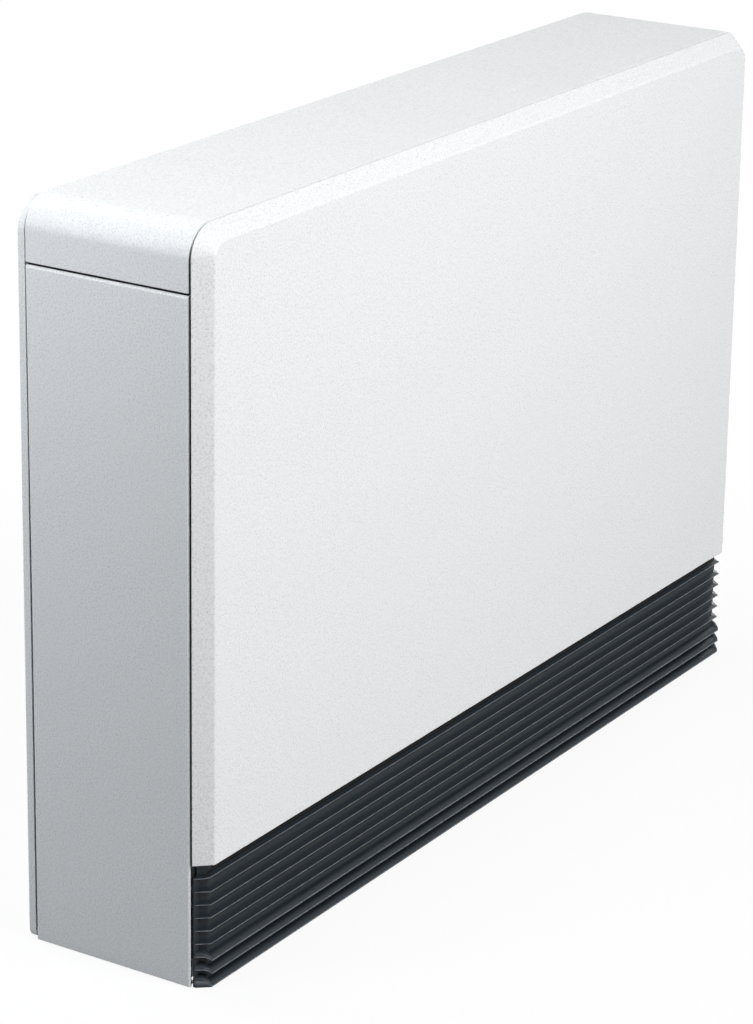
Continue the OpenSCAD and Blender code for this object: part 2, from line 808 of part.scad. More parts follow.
bush_out_r = element_r + bush_wall;
module element_bushes() {
    color("white") for (n = [0 : layers / 2 - 1], y = leg_y) difference() {
        rod_x(core_right - bush_out, part_x + bush_out, y, element_z(n), bush_out_r);
        rod_x(core_right - bush_out - 1, part_x + bush_out + 1, y, element_z(n), groove_r);
    }
}

link_half = 6;
link_t = 1.5;
module element_links() {
    x0 = part_x + element_end + pin_l / 3;
    last = layers / 2 - 1;
    color("peru") for (y = leg_y) difference() {
        box([x0, y - link_half, element_z(0) - link_half],
            [x0 + link_t, y + link_half, element_z(last) + link_half]);
        for (n = [0 : last]) rod_x(x0 - 1, x0 + link_t + 1, y, element_z(n), pin_r + run_clear);
    }
}

// Air duct from the fan to the upper fins, on its own end walls
module air_duct() {
    color(STEEL) difference() {
        union() {
            box([-channel_half, duct_front, duct_z],
                [channel_half, fan_y - rotor_r - scroll_gap, duct_z + sheet]);
            box([-channel_half, duct_front, roof_z - sheet], [channel_half, duct_back, roof_z]);
            for (side = [0, 1]) mirror([side, 0, 0]) {
                box([-channel_half - sheet, tray_front + 6, floor_z], [-channel_half, duct_back, roof_z]);
                box([-channel_half - sheet, duct_front, duct_z], [-channel_half, duct_back, roof_z]);
            }
        }
        rod_x(-channel_half - 2, channel_half + 2, flap_y, flap_z, flap_pin_r + run_clear);
    }
}

// Mixing flap: a plate on a hinge tube with a pin at each end
module mixing_flap() {
    tube_r = flap_pin_r + 1;
    half = channel_half - 2;
    color("gainsboro") union() {
        rod_x(-half, half, flap_y, flap_z, tube_r);
        rod_x(lever_x - 4, channel_half + sheet + 3, flap_y, flap_z, flap_pin_r);
        box([-half, flap_y - flap_l, flap_z - flap_t / 2], [half, flap_y, flap_z + flap_t / 2]);
    }
}

// Lever clamped on the flap's left pin, pushed by the bimetal strip
lever_l = 18;
module flap_lever() {
    hub_r = flap_pin_r + 2.5;
    color("gainsboro") difference() {
        union() {
            rod_x(lever_x - 3, lever_x, flap_y, flap_z, hub_r);
            box([lever_x - 3, flap_y - 2, flap_z - lever_l], [lever_x, flap_y + 2, flap_z]);
        }
        rod_x(lever_x - 4, lever_x + 1, flap_y, flap_z, flap_pin_r + run_clear);
    }
}

module bimetal_strip() {
    low = flap_z - lever_l + 1;
    color("darkkhaki") union() {
        box([lever_x - 3, flap_y - 7, low], [lever_x, flap_y - 6, shelf_z]);
        box([lever_x - 3, flap_y - 7, low], [lever_x, flap_y - 2 - fit, low + 1.5]);
    }
}

// Fan housing: a scroll behind the rotors, open over the motor, between two end plates
module fan_housing() {
    color(STEEL) difference() {
        union() {
            difference() {
                rod_x(-channel_half, channel_half, fan_y, fan_z, scroll_r + sheet);
                rod_x(-channel_half - 1, channel_half + 1, fan_y, fan_z, scroll_r);
                box([-case_w, fan_y - 2 * scroll_r, 0], [case_w, fan_y, shelf_z]);
            }
            box([-channel_half, duct_back, fan_z + scroll_r],
                [channel_half, fan_y, fan_z + scroll_r + sheet]);
            box([-channel_half, duct_back, fan_z + scroll_r], [channel_half, duct_back + sheet, roof_z]);
            for (side = [0, 1]) mirror([side, 0, 0])
                box([-channel_half - sheet, duct_back, floor_z],
                    [-channel_half, fan_y + scroll_r + 6, roof_z]);
        }
        rod_x(-channel_half - 2, channel_half + 2, fan_y, fan_z, rubber_r + run_clear);
        box([-motor_half, fan_y - scroll_r, floor_z], [motor_half, rear_in, fan_z]);
    }
}

// Cross-flow rotor: blades between discs on the shaft
module fan_rotor(x0) {
    disc = 2;
    blade_deep = 5;
    color("gainsboro") difference() {
        union() {
            for (x = [x0, x0 + (rotor_l - disc) / 2, x0 + rotor_l - disc])
                rod_x(x, x + disc, fan_y, fan_z, rotor_r);
            for (i = [0 : blades - 1])
                translate([x0, fan_y, fan_z]) rotate([i * 360 / blades, 0, 0])
                    translate([0, 0, rotor_r - blade_deep / 2 - 0.5]) rotate([25, 0, 0])
                        translate([0, -0.4, -blade_deep / 2]) cube([rotor_l, 0.8, blade_deep]);
        }
        rod_x(x0 - 1, x0 + rotor_l + 1, fan_y, fan_z, shaft_r + run_clear);
    }
}

module fan_rotor_left() {
    fan_rotor(-rotor_in - rotor_l);
}

module fan_rotor_right() {
    fan_rotor(rotor_in);
}

shaft_half = channel_half + 7;
module fan_shaft() {
    color("silver") rod_x(-shaft_half, shaft_half, fan_y, fan_z, shaft_r);
}

armature_r = stator_r / 2;
module motor_rotor() {
    color("silver") difference() {
        rod_x(-stack_half, stack_half, fan_y, fan_z, armature_r);
        rod_x(-stack_half - 1, stack_half + 1, fan_y, fan_z, shaft_r + run_clear);
    }
}

module fan_motor() {
    color("slategray") difference() {
        rod_x(-stack_half, stack_half, fan_y, fan_z, stator_r);
        rod_x(-stack_half - 1, stack_half + 1, fan_y, fan_z, armature_r + fit);
    }
}

coil_l = 9;
module motor_coils() {
    color("peru") for (x = [-stack_half - coil_l, stack_half]) difference() {
        rod_x(x, x + coil_l, fan_y, fan_z, stator_r - 3);
        rod_x(x - 1, x + coil_l + 1, fan_y, fan_z, armature_r + 1.5);
    }
}

module motor_bracket() {
    color(STEEL) difference() {
        union() {
            box([-stack_half, fan_y - 24, floor_z], [stack_half, fan_y + 24, floor_z + 1.5]);
            box([-stack_half, fan_y - 7, floor_z], [stack_half, fan_y + 7, fan_z - stator_r + 3]);
        }
        rod_x(-stack_half - 1, stack_half + 1, fan_y, fan_z, stator_r + run_clear);
    }
}

end_plate_x = channel_half + sheet / 2;
bush_l = 8;
module shaft_bearings() {
    color("goldenrod") for (side = [0, 1]) mirror([side, 0, 0]) difference() {
        rod_x(end_plate_x - bush_l / 2, end_plate_x + bush_l / 2, fan_y, fan_z, bush_r);
        rod_x(end_plate_x - bush_l, end_plate_x + bush_l, fan_y, fan_z, shaft_r + run_clear);
    }
}

module bearing_rubbers() {
    half = 3;
    color("black") for (side = [0, 1]) mirror([side, 0, 0]) difference() {
        rod_x(end_plate_x - half, end_plate_x + half, fan_y, fan_z, rubber_r);
        rod_x(end_plate_x - bush_l, end_plate_x + bush_l, fan_y, fan_z, bush_r + run_clear);
    }
}

// Electrical pieces on the partition plate
module terminal_block() {
    ways = 6;
    way = 12;
    deep = 22;
    high = 30;
    z0 = floor_z + tray_back_h + high;
    color("ivory") difference() {
        box([part_x, room_y - ways * way / 2, z0], [part_x + deep, room_y + ways * way / 2, z0 + high]);
        for (i = [0 : ways - 1])
            rod_x(part_x + deep - 10, part_x + deep + 1,
                room_y + (i - (ways - 1) / 2) * way, z0 + high / 2, 3.5);
    }
}

control_bore = 12;
module charge_controller() {
    color("darkslategray") difference() {
        box([part_x, knob_y - control_half_y, knob_z - control_half_z],
            [control_x, knob_y + control_half_y, knob_z + control_half_z]);
        rod_x(control_x - control_bore, control_x + 1, knob_y, knob_z, spindle_r + run_clear);
    }
}

module knob_spindle() {
    color("silver") rod_x(control_x - control_bore + 0.5, hw - 3.5, knob_y, knob_z, spindle_r);
}

module charge_knob() {
    groove = 1.2;
    skirt = 5.5;
    x0 = dish_x + 2.5;
    x1 = hw - 0.5;
    color(SLATE) difference() {
        union() {
            rod_x(x0, x1, knob_y, knob_z, knob_r - 2);
            rod_x(x0, x0 + skirt, knob_y, knob_z, knob_r);
            box([x0, knob_y - 3, knob_z - knob_r + 2.4], [x1, knob_y + 3, knob_z + knob_r - 2.4]);
        }
        rod_x(dish_x, hw - 3, knob_y, knob_z, spindle_r + run_clear);
        box([x1 - groove, knob_y - groove / 2, knob_z + 4], [hw, knob_y + groove / 2, knob_z + knob_r]);
    }
}

module knob_bezel() {
    wall = 2;
    color(SLATE) difference() {
        union() {
            rod_x(dish_x, hw, knob_y, knob_z, dish_r + wall);
            rod_x(hw - 2 * sheet - fit, hw - sheet, knob_y, knob_z, dish_r + wall + 5);
        }
        rod_x(dish_x + wall, hw + 1, knob_y, knob_z, dish_r);
        rod_x(dish_x - 1, hw, knob_y, knob_z, spindle_r + fit);
    }
}

limiter_r = 16;
limiter_x = part_x + 26;
button_r = 3;
button_bore = 11;
button_travel = 2;
module safety_limiter() {
    color("saddlebrown") difference() {
        rod_x(part_x, limiter_x, room_y, limiter_z, limiter_r);
        rod_x(limiter_x - button_bore, limiter_x + 1, room_y, limiter_z, button_r + run_clear);
    }
}

module reset_button() {
    color("firebrick")
        rod_x(limiter_x - button_bore + button_travel + 0.5, limiter_x + 6, room_y, limiter_z, button_r);
}

sensor_r = 3;
sensor_y = rear_board - (rear_board - core_y - brick_d / 2) / 2;
module core_sensor() {
    color("silver") union() {
        rod_x(bricks_right - sensor_l, part_x + 1, sensor_y, limiter_z, sensor_r);
        rod_x(part_x, part_x + 6, sensor_y, limiter_z, sensor_r + 3);
    }
}

gland_body_r = gland_r + 4;
module cable_gland() {
    color("black") difference() {
        union() {
            rod_y(rear_in - 14, rear_in + sheet, gland_x, gland_z, gland_body_r);
            rod_y(rear_in + sheet, rear_in + sheet + 2, gland_x, gland_z, gland_body_r + 4);
            rod_y(rear_in - 7, rear_in, gland_x, gland_z, gland_body_r + 4);
        }
        rod_y(rear_in - 15, back_y + 1, gland_x, gland_z, gland_r);
    }
}

front_panel();
top_cover();
left_side_panel();
right_side_panel();
rear_plate();
base_tray();
left_foot_rail();
right_foot_rail();
outlet_grille();
lint_filter();
panel_brackets();
panel_screws();
casing_screws();
rear_screws();
inner_front_plate();
inner_top_plate();
inner_left_plate();
partition_plate();
core_shelf();
insulation_front();
insulation_rear();
insulation_base();
insulation_top();
insulation_left();
insulation_right();
storage_bricks();
heating_element_lower();
heating_element_middle();
heating_element_upper();
element_bushes();
element_links();
air_duct();
mixing_flap();
flap_lever();
bimetal_strip();
fan_housing();
fan_rotor_left();
fan_rotor_right();
fan_shaft();
motor_rotor();
fan_motor();
motor_coils();
motor_bracket();
shaft_bearings();
bearing_rubbers();
terminal_block();
charge_controller();
knob_spindle();
charge_knob();
knob_bezel();
safety_limiter();
reset_button();
core_sensor();
cable_gland();
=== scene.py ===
"""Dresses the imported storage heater: folded and painted casing, moulded grille, small fittings,
procedural materials, studio light and the camera. Shapes are drawn in millimetres in the CAD frame,
and the floor, the lamps and the camera in metres."""
import json
import math

import bmesh
import bpy
from mathutils import Matrix, Vector

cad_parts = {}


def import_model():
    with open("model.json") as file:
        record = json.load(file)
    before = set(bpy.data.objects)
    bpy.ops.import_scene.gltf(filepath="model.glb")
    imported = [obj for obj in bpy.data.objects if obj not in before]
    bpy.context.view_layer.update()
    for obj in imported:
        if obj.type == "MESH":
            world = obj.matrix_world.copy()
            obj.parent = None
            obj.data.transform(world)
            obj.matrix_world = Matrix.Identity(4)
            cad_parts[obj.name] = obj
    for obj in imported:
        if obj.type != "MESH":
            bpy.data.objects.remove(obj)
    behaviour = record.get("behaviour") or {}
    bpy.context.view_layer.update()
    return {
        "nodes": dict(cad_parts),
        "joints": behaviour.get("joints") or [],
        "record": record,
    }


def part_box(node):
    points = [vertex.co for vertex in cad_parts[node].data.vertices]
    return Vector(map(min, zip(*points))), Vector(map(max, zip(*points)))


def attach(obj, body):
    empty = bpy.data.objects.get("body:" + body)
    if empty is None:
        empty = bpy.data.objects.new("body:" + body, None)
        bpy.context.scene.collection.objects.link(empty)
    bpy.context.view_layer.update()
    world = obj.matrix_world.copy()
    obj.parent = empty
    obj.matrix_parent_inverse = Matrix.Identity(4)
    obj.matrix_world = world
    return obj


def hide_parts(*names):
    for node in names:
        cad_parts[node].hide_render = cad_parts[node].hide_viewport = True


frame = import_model()
nodes = frame["nodes"]
record = frame["record"]
scene = bpy.context.scene

MM = 0.001
X_AXIS = (1, 0, 0)
Y_AXIS = (0, 1, 0)


def box_of(name):
    """Lowest and highest corner of a CAD node, in millimetres to two places."""
    return [[round(v / MM, 2) for v in corner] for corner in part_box(name)]


def mount(name):
    """Place of one of the record's mounts in millimetres, and its sizes."""
    found = [m for m in record["mounts"] if m["name"] == name][0]
    return [round(v / MM, 2) for v in found["pos_m"]], found["dims"]


# Casing, in millimetres: its outer faces come from the CAD nodes, and FULL_BEND is the radius that a
# bevel weight of 1 stands for
(_, FACE, PANEL_LOW), (HALF_W, PANEL_BACK, TOP) = box_of("front_panel")
(_, SHELL_FRONT, COVER_LOW), (_, SHELL_BACK, _) = box_of("top_cover")
(_, _, SKIRT), (_, _, TONGUE_TOP) = box_of("left_side_panel")
(_, REAR_FRONT, _), (_, BACK, REAR_TOP) = box_of("rear_plate")
SHEET = 1.2
ROUND = 28.0
FOLD = 2.0
HEM = 12.0
BEVEL = 13.5
CUT_EDGE = 0.3
FULL_BEND = 4.0

# Joints: narrower behind the front panel than in the solids, and closing towards the top
SEAM = PANEL_BACK + 0.5
COVER_JOINT = 1.8
SIDE_TOP = COVER_LOW - COVER_JOINT
BACK_TAPER = 0.9
TAPER_FROM = 330.0
FRONT_TAPER = 0.9
FRONT_RISE = 18.0

# Rear plate and what is fixed to it
(_, FIELD, FIXING_Z), FIXING = mount("wall_fixing")
(GLAND_X, _, GLAND_Z), ENTRY = mount("cable_entry")
REAR_IN = FIELD - SHEET
FOOT_SCREW_Z = SKIRT + 31.0
REAR_SCREWS = [(x, FOOT_SCREW_Z) for x in (-400, -200, 0, 200, 360)] + [(x, FIXING_Z) for x in (-300, 0, 300)]

# Outlet grille: s runs in from the tip line of the drooping fins. A level fin grows thicker towards the
# wall by FIN_DROP below and FIN_RISE above, and a drooping one falls by DROOP from the wall to its tip
(_, TIP_LINE, GRILLE_LOW), (GRILLE_HALF, ARM_BACK, CHEEK_TOP) = box_of("outlet_grille")
FINS = 6
LOW_FINS = 3
LAST_FIN = FINS + LOW_FINS - 1
FIN_PITCH = 12.16
LOW_FIN_STEP = 3.0
PROUD = 1.7
FIN_OUT = 5.3
WALL_S = PROUD + FIN_OUT
GRILLE_WALL = 1.6
GRILLE_TOP = PANEL_LOW - 7.6
GRILLE_BACK = SHELL_FRONT - SHEET
FIN_TOP = GRILLE_TOP - 5.2
FIN_R = 0.3
FIN_DROP = 1.2
FIN_RISE = 1.6
DROOP = 4.6
UNDER_FIN = 4.0
CORNER_X = HALF_W - 12.3
CORNER_R = 2.2
FLANK = math.atan(9.3 / 11.1)
CHEEK_END = HALF_W - 22.5
CHEEK = -1
FLANK_STEPS = 9
CORNER_STEPS = 5

# Charge knob in its dish on the right side
TURN = [joint for joint in frame["joints"] if joint["name"] == "knob_turn"][0]
KNOB = Vector([v / MM for v in TURN["pos_m"]])
(KNOB_BACK, _, _), (KNOB_FACE, _, _) = box_of("charge_knob")
(DISH_X, _, _), _ = box_of("knob_bezel")
KNOB_R = 18.0
DISH_R = 28.0
DISH_WALL = 2.0


# Mesh helpers

def fillet(points, radii, steps=5):
    """Closed 2D outline with each corner rounded to its own radius."""
    out = []
    for i, (here, r) in enumerate(zip(points, radii)):
        p = Vector(here)
        a = (Vector(points[i - 1]) - p).normalized()
        b = (Vector(points[(i + 1) % len(points)]) - p).normalized()
        half = a.angle(b) / 2
        centre = p + (a + b).normalized() * (r / math.sin(half))
        start, end = p + a * (r / math.tan(half)) - centre, p + b * (r / math.tan(half)) - centre
        a0 = math.atan2(start.y, start.x)
        turn = (math.atan2(end.y, end.x) - a0 + math.pi) % (2 * math.pi) - math.pi
        for k in range(steps + 1):
            t = a0 + turn * k / steps
            out.append(centre + Vector((math.cos(t), math.sin(t))) * r)
    return out


def quarter(u, v, r, start, steps=3):
    """Points of a quarter turn round (u, v), from an angle in degrees."""
    angles = [math.radians(start + 90 * k / steps) for k in range(steps + 1)]
    return [(u + r * math.cos(t), v + r * math.sin(t)) for t in angles]


def mesh_object(name, bm):
    """New object from a bmesh drawn in millimetres."""
    bmesh.ops.scale(bm, vec=(MM,) * 3, verts=bm.verts)
    bmesh.ops.recalc_face_normals(bm, faces=bm.faces)
    return link_mesh(name, bm)


def link_mesh(name, bm):
    """Turns a bmesh into an object of the scene."""
    mesh = bpy.data.meshes.new(name)
    bm.to_mesh(mesh)
    bm.free()
    ob = bpy.data.objects.new(name, mesh)
    scene.collection.objects.link(ob)
    return ob


def bake(ob):
    """Applies the object's modifiers."""
    bpy.context.view_layer.update()
    done = bpy.data.meshes.new_from_object(ob.evaluated_get(bpy.context.evaluated_depsgraph_get()))
    ob.modifiers.clear()
    old = ob.data
    ob.data = done
    bpy.data.meshes.remove(old)
    return ob


def settle(ob, angle=30):
    """Shades the object smooth with sharp edges over an angle, and applies its modifiers."""
    ob.data.shade_smooth()
    ob.data.set_sharp_from_angle(angle=math.radians(angle))
    keep = ob.modifiers.new("normals", "WEIGHTED_NORMAL")
    keep.keep_sharp = True
    keep.weight = 80
    return bake(ob)


def cut(ob, cutter):
    """Takes the cutter out of an object and removes the cutter."""
    mod = ob.modifiers.new("cut", "BOOLEAN")
    mod.operation = "DIFFERENCE"
    mod.solver = "EXACT"
    mod.object = cutter
    bake(ob)
    gone = cutter.data
    bpy.data.objects.remove(cutter)
    bpy.data.meshes.remove(gone)
    return ob


def round_edges(ob, radius, segments, angle=30):
    """Rounds the edges whose faces turn by more than an angle."""
    rim = ob.modifiers.new("rim", "BEVEL")
    rim.width = radius * MM
    rim.segments = segments
    rim.limit_method = "ANGLE"
    rim.angle_limit = math.radians(angle)
    return ob


def dress(ob, body, slot, *replaced):
    """Gives a piece its material, its body and the CAD nodes that it stands for."""
    ob.data.materials.clear()
    ob.data.materials.append(MATERIALS[slot])
    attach(ob, body)
    if replaced:
        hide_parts(*replaced)
    return ob


def join(bm, rings, closed=True, caps=(0, -1)):
    """Faces between each ring of vertices and the next, and over the rings that caps names."""
    count = len(rings[0])
    for a, b in zip(rings, rings[1:]):
        for i in range(count if closed else count - 1):
            j = (i + 1) % count
            bm.faces.new((a[i], a[j], b[j], b[i]))
    for k in caps:
        bm.faces.new(rings[k])


def at_station(bm, station, u, y):
    """New vertex at a distance u in from a station."""
    origin, inward = station
    return bm.verts.new(origin + inward * u + Vector((0, y, 0)))


def arch(low, steps=20):
    """Stations of (origin, inward direction) up the left side, over the top and down the right side."""
    out = [(Vector((-HALF_W, 0, low)), Vector((1, 0, 0)))]
    for side in (-1, 1):
        centre = Vector((side * (HALF_W - ROUND), 0, TOP - ROUND))
        for k in range(steps + 1):
            t = math.radians(90 * (k if side < 0 else steps - k) / steps)
            d = Vector((side * math.cos(t), 0, math.sin(t)))
            out.append((centre + d * ROUND, -d))
    out.append((Vector((HALF_W, 0, low)), Vector((-1, 0, 0))))
    return out


def lathe(bm, profile, centre, axis, turns):
    """Turns a closed profile of (radius, along) about an axis through centre."""
    axis = Vector(axis)
    side = axis.orthogonal().normalized()
    other = axis.cross(side)
    rings = []
    for k in range(turns):
        t = 2 * math.pi * k / turns
        d = side * math.cos(t) + other * math.sin(t)
        rings.append([bm.verts.new(Vector(centre) + axis * h + d * r) for r, h in profile])
    for a, b in zip(rings, rings[1:] + rings[:1]):
        for i in range(len(profile)):
            j = (i + 1) % len(profile)
            if profile[i][0] > 0 or profile[j][0] > 0:
                bm.faces.new((a[i], a[j], b[j], b[i]))
    bmesh.ops.remove_doubles(bm, verts=bm.verts, dist=1e-5)


def rod(bm, centre, axis, r, low, high, turns):
    """Round bar from low to high along an axis."""
    lathe(bm, [(0, low), (r, low), (r, high), (0, high)], centre, axis, turns)


def solid_box(bm, low, high):
    """Box between two corners."""
    xs, ys, zs = zip(low, high)
    c = [bm.verts.new((x, y, z)) for x in xs for y in ys for z in zs]
    for f in ((0, 1, 3, 2), (4, 6, 7, 5), (0, 4, 5, 1), (2, 3, 7, 6), (0, 2, 6, 4), (1, 5, 7, 3)):
        bm.faces.new([c[i] for i in f])


def weigh(bm, radius):
    """Bevel weight of each inner edge, from a function that gives the radius for its two vertices."""
    layer = bm.edges.layers.float.new("bevel_weight_edge")
    for e in bm.edges:
        if len(e.link_faces) == 2:
            e[layer] = radius(*e.verts) / FULL_BEND


def fold(ob):
    """Rounds the weighted edges of a skin and thickens it inward to a sheet."""
    bevel = ob.modifiers.new("fold", "BEVEL")
    bevel.limit_method = "WEIGHT"
    bevel.width = FULL_BEND * MM
    bevel.segments = 4
    bevel.offset_type = "OFFSET"
    bevel.use_clamp_overlap = False
    wall = ob.modifiers.new("sheet", "SOLIDIFY")
    wall.thickness = SHEET * MM
    wall.offset = -1
    wall.use_even_offset = True
    return ob


# Shader helpers

def shader(name):
    """New material with its node tree, its Principled node and the object coordinates."""
    mat = bpy.data.materials.new(name)
    mat.use_nodes = True
    tree = mat.node_tree
    return mat, tree, tree.nodes["Principled BSDF"], tree.nodes.new("ShaderNodeTexCoord").outputs["Object"]


def feed(tree, socket, value):
    """Links a socket to another one, or sets its number or its colour."""
    if isinstance(value, bpy.types.NodeSocket):
        tree.links.new(value, socket)
    elif isinstance(value, tuple):
        socket.default_value = (*value, 1)
    else:
        socket.default_value = value


def maths(tree, operation, *values):
    """Result of a math node."""
    node = tree.nodes.new("ShaderNodeMath")
    node.operation = operation
    for socket, value in zip(node.inputs, values):
        feed(tree, socket, value)
    return node.outputs[0]


def noise(tree, coord, scale, detail=2.0, rough=0.5, stretch=None):
    """Noise value in object space, with features about 1/scale metres wide."""
    if stretch:
        mapping = tree.nodes.new("ShaderNodeMapping")
        mapping.inputs["Scale"].default_value = stretch
        tree.links.new(coord, mapping.inputs["Vector"])
        coord = mapping.outputs["Vector"]
    node = tree.nodes.new("ShaderNodeTexNoise")
    node.inputs["Scale"].default_value = scale
    node.inputs["Detail"].default_value = detail
    node.inputs["Roughness"].default_value = rough
    tree.links.new(coord, node.inputs["Vector"])
    return node.outputs["Fac"]


def ramp(tree, value, stops):
    """Colour ramp through stops of (position, colour)."""
    node = tree.nodes.new("ShaderNodeValToRGB")
    for element, (pos, col) in zip(node.color_ramp.elements, (stops[0], stops[-1])):
        element.position = pos
        element.color = (*col, 1)
    for pos, col in stops[1:-1]:
        node.color_ramp.elements.new(pos).color = (*col, 1)
    tree.links.new(value, node.inputs["Fac"])
    return node.outputs["Color"]


def span(tree, value, low, high, a=0.3, b=0.7):
    """Runs from low to high while the value runs from a to b."""
    node = tree.nodes.new("ShaderNodeMapRange")
    node.inputs["From Min"].default_value = a
    node.inputs["From Max"].default_value = b
    node.inputs["To Min"].default_value = low
    node.inputs["To Max"].default_value = high
    tree.links.new(value, node.inputs["Value"])
    return node.outputs["Result"]


def blend(tree, fac, a, b):
    """Colour between a and b."""
    node = tree.nodes.new("ShaderNodeMix")
    node.data_type = "RGBA"
    for socket, value in zip((node.inputs[0], node.inputs[6], node.inputs[7]), (fac, a, b)):
        feed(tree, socket, value)
    return node.outputs[2]


def both(tree, a, b):
    """Product of two values."""
    return maths(tree, "MULTIPLY", a, b)


def axes(tree, coord):
    """The three coordinates of a place."""
    node = tree.nodes.new("ShaderNodeSeparateXYZ")
    tree.links.new(coord, node.inputs[0])
    return node.outputs


def band(tree, value, low, high, soft=0.05):
    """1 between two positions in millimetres, 0 outside them."""
    return both(tree, span(tree, value, 0.0, 1.0, (low - soft) * MM, (low + soft) * MM),
                span(tree, value, 1.0, 0.0, (high - soft) * MM, (high + soft) * MM))


def attribute(tree, name):
    """Value that the mesh carries for each vertex."""
    node = tree.nodes.new("ShaderNodeAttribute")
    node.attribute_name = name
    return node.outputs["Fac"]


def surface(tree, bsdf, colour, rough, metallic=0.0, specular=0.5):
    """Sets what the Principled node needs besides its bump."""
    tree.links.new(colour, bsdf.inputs["Base Color"])
    tree.links.new(rough, bsdf.inputs["Roughness"])
    bsdf.inputs["Metallic"].default_value = metallic
    bsdf.inputs["Specular IOR Level"].default_value = specular


def bump(tree, bsdf, *layers):
    """Stacks bump layers of (height value, strength, distance in metres)."""
    normal = None
    for height, strength, distance in layers:
        node = tree.nodes.new("ShaderNodeBump")
        node.inputs["Strength"].default_value = strength
        node.inputs["Distance"].default_value = distance
        tree.links.new(height, node.inputs["Height"])
        if normal:
            tree.links.new(normal, node.inputs["Normal"])
        normal = node.outputs["Normal"]
    tree.links.new(normal, bsdf.inputs["Normal"])


# Materials

def white_paint():
    """Baked powder paint: fine speckle, faint orange peel, a slow drift in gloss, painted shade in the
    joints.
    """
    mat, tree, bsdf, coord = shader("white_paint")
    speck = noise(tree, coord, 620, 2, 0.75)
    slow = noise(tree, coord, 9, 2)
    shades = [(0.25, (0.60, 0.63, 0.655)), (0.5, (0.865, 0.88, 0.885)), (0.75, (0.99, 0.985, 0.97))]
    colour = blend(tree, span(tree, slow, 0.0, 0.2), ramp(tree, speck, shades), (0.86, 0.87, 0.87))
    x, y, z = axes(tree, coord)
    fade_from = (TOP - ROUND - 3) * MM
    fade_to = (TOP - 15) * MM
    # Painted shade: near black in the gaps beside the front panel and under the cover, and on the cover's
    # edge at the front joint, fading to a faint line over the top
    front_joint_shade = both(tree, band(tree, y, SEAM - 0.1, SHELL_FRONT + 0.1),
                       span(tree, z, 1.0, 0.2, fade_from, fade_to))
    cover_joint_shade = both(tree, band(tree, z, SIDE_TOP - 0.5, COVER_LOW - 0.1),
                       band(tree, maths(tree, "ABSOLUTE", x), HALF_W - 7.5, HALF_W - 1.6))
    cover_joint_shade = both(tree, cover_joint_shade, band(tree, y, SHELL_FRONT + 0.7, SHELL_BACK - 0.6))
    for joint in (front_joint_shade, cover_joint_shade):
        colour = blend(tree, joint, colour, (0.012, 0.012, 0.013))
    surface(tree, bsdf, colour, span(tree, slow, 0.34, 0.44), specular=0.45)
    bump(tree, bsdf, (noise(tree, coord, 420, 2), 0.10, 0.0002), (speck, 0.10, 0.00006))
    return mat


def slate_plastic():
    """Moulded grille plastic: spark texture, a painted highlight along the tips, painted shade under the fins
    and a painted shadow on the upper edge behind the front panel's foot."""
    mat, tree, bsdf, coord = shader("slate_plastic")
    fine = noise(tree, coord, 1500, 3, 0.6)
    slow = noise(tree, coord, 30, 3)
    colour = ramp(tree, fine, [(0.3, (0.006, 0.0115, 0.0155)), (0.7, (0.018, 0.026, 0.033))])
    colour = blend(tree, span(tree, slow, 0.0, 0.35), colour, (0.0145, 0.0215, 0.029))
    # Painted highlight: the tips and the cheeks' ends are lighter, as where their rounded edges catch the
    # light
    highlight_mask = both(tree, attribute(tree, "edge_highlight"), span(tree, noise(tree, coord, 160, 3), 0.5, 1.0))
    colour = blend(tree, highlight_mask, colour, (0.20, 0.222, 0.255))
    # Painted shade: dark under each fin and at the grille's foot, where the fins' shadows fall
    colour = blend(tree, attribute(tree, "painted_shade"), colour, (0.003, 0.006, 0.008))
    x, _, z = axes(tree, coord)
    reach = CORNER_X - CORNER_R
    # Painted shadow: the top of the grille's wall, under the front panel's foot, is near black along the
    # front
    panel_shadow = both(tree, band(tree, z, GRILLE_TOP - 2.2, GRILLE_TOP + 2.6), band(tree, x, -reach, reach))
    colour = blend(tree, panel_shadow, colour, (0.003, 0.003, 0.003))
    surface(tree, bsdf, colour, span(tree, slow, 0.48, 0.60), specular=0.3)
    bump(tree, bsdf, (fine, 0.25, 0.00008))
    return mat


def galvanised_steel():
    """Zinc spangle: angular cells of slightly different grey and roughness."""
    mat, tree, bsdf, coord = shader("galvanised_steel")
    cells = tree.nodes.new("ShaderNodeTexVoronoi")
    cells.inputs["Scale"].default_value = 130
    tree.links.new(coord, cells.inputs["Vector"])
    tone = tree.nodes.new("ShaderNodeSeparateColor")
    tree.links.new(cells.outputs["Color"], tone.inputs["Color"])
    colour = ramp(tree, tone.outputs["Red"], [(0.0, (0.46, 0.48, 0.49)), (1.0, (0.66, 0.68, 0.69))])
    surface(tree, bsdf, colour, span(tree, tone.outputs["Green"], 0.34, 0.52, 0, 1), metallic=0.85)
    bump(tree, bsdf, (noise(tree, coord, 500, 2), 0.15, 0.0001))
    return mat


def plain(name, dark, light, rough, grain, bumps, specular=0.5, mottle=None):
    """Finish from two noises: a fine grain between two colours and a slow mottle in its roughness.
    Bumps are (scale, strength, depth in metres), and mottle is (share, colour)."""
    mat, tree, bsdf, coord = shader(name)
    fine = noise(tree, coord, grain, 3, 0.6)
    slow = noise(tree, coord, grain / 40, 3, 0.55)
    colour = ramp(tree, fine, [(0.3, dark), (0.7, light)])
    if mottle:
        colour = blend(tree, span(tree, slow, 0.0, mottle[0], 0.35, 0.65), colour, mottle[1])
    surface(tree, bsdf, colour, span(tree, slow, *rough), specular=specular)
    bump(tree, bsdf, *[(noise(tree, coord, scale, 2), strength, depth) for scale, strength, depth in bumps])
    return mat


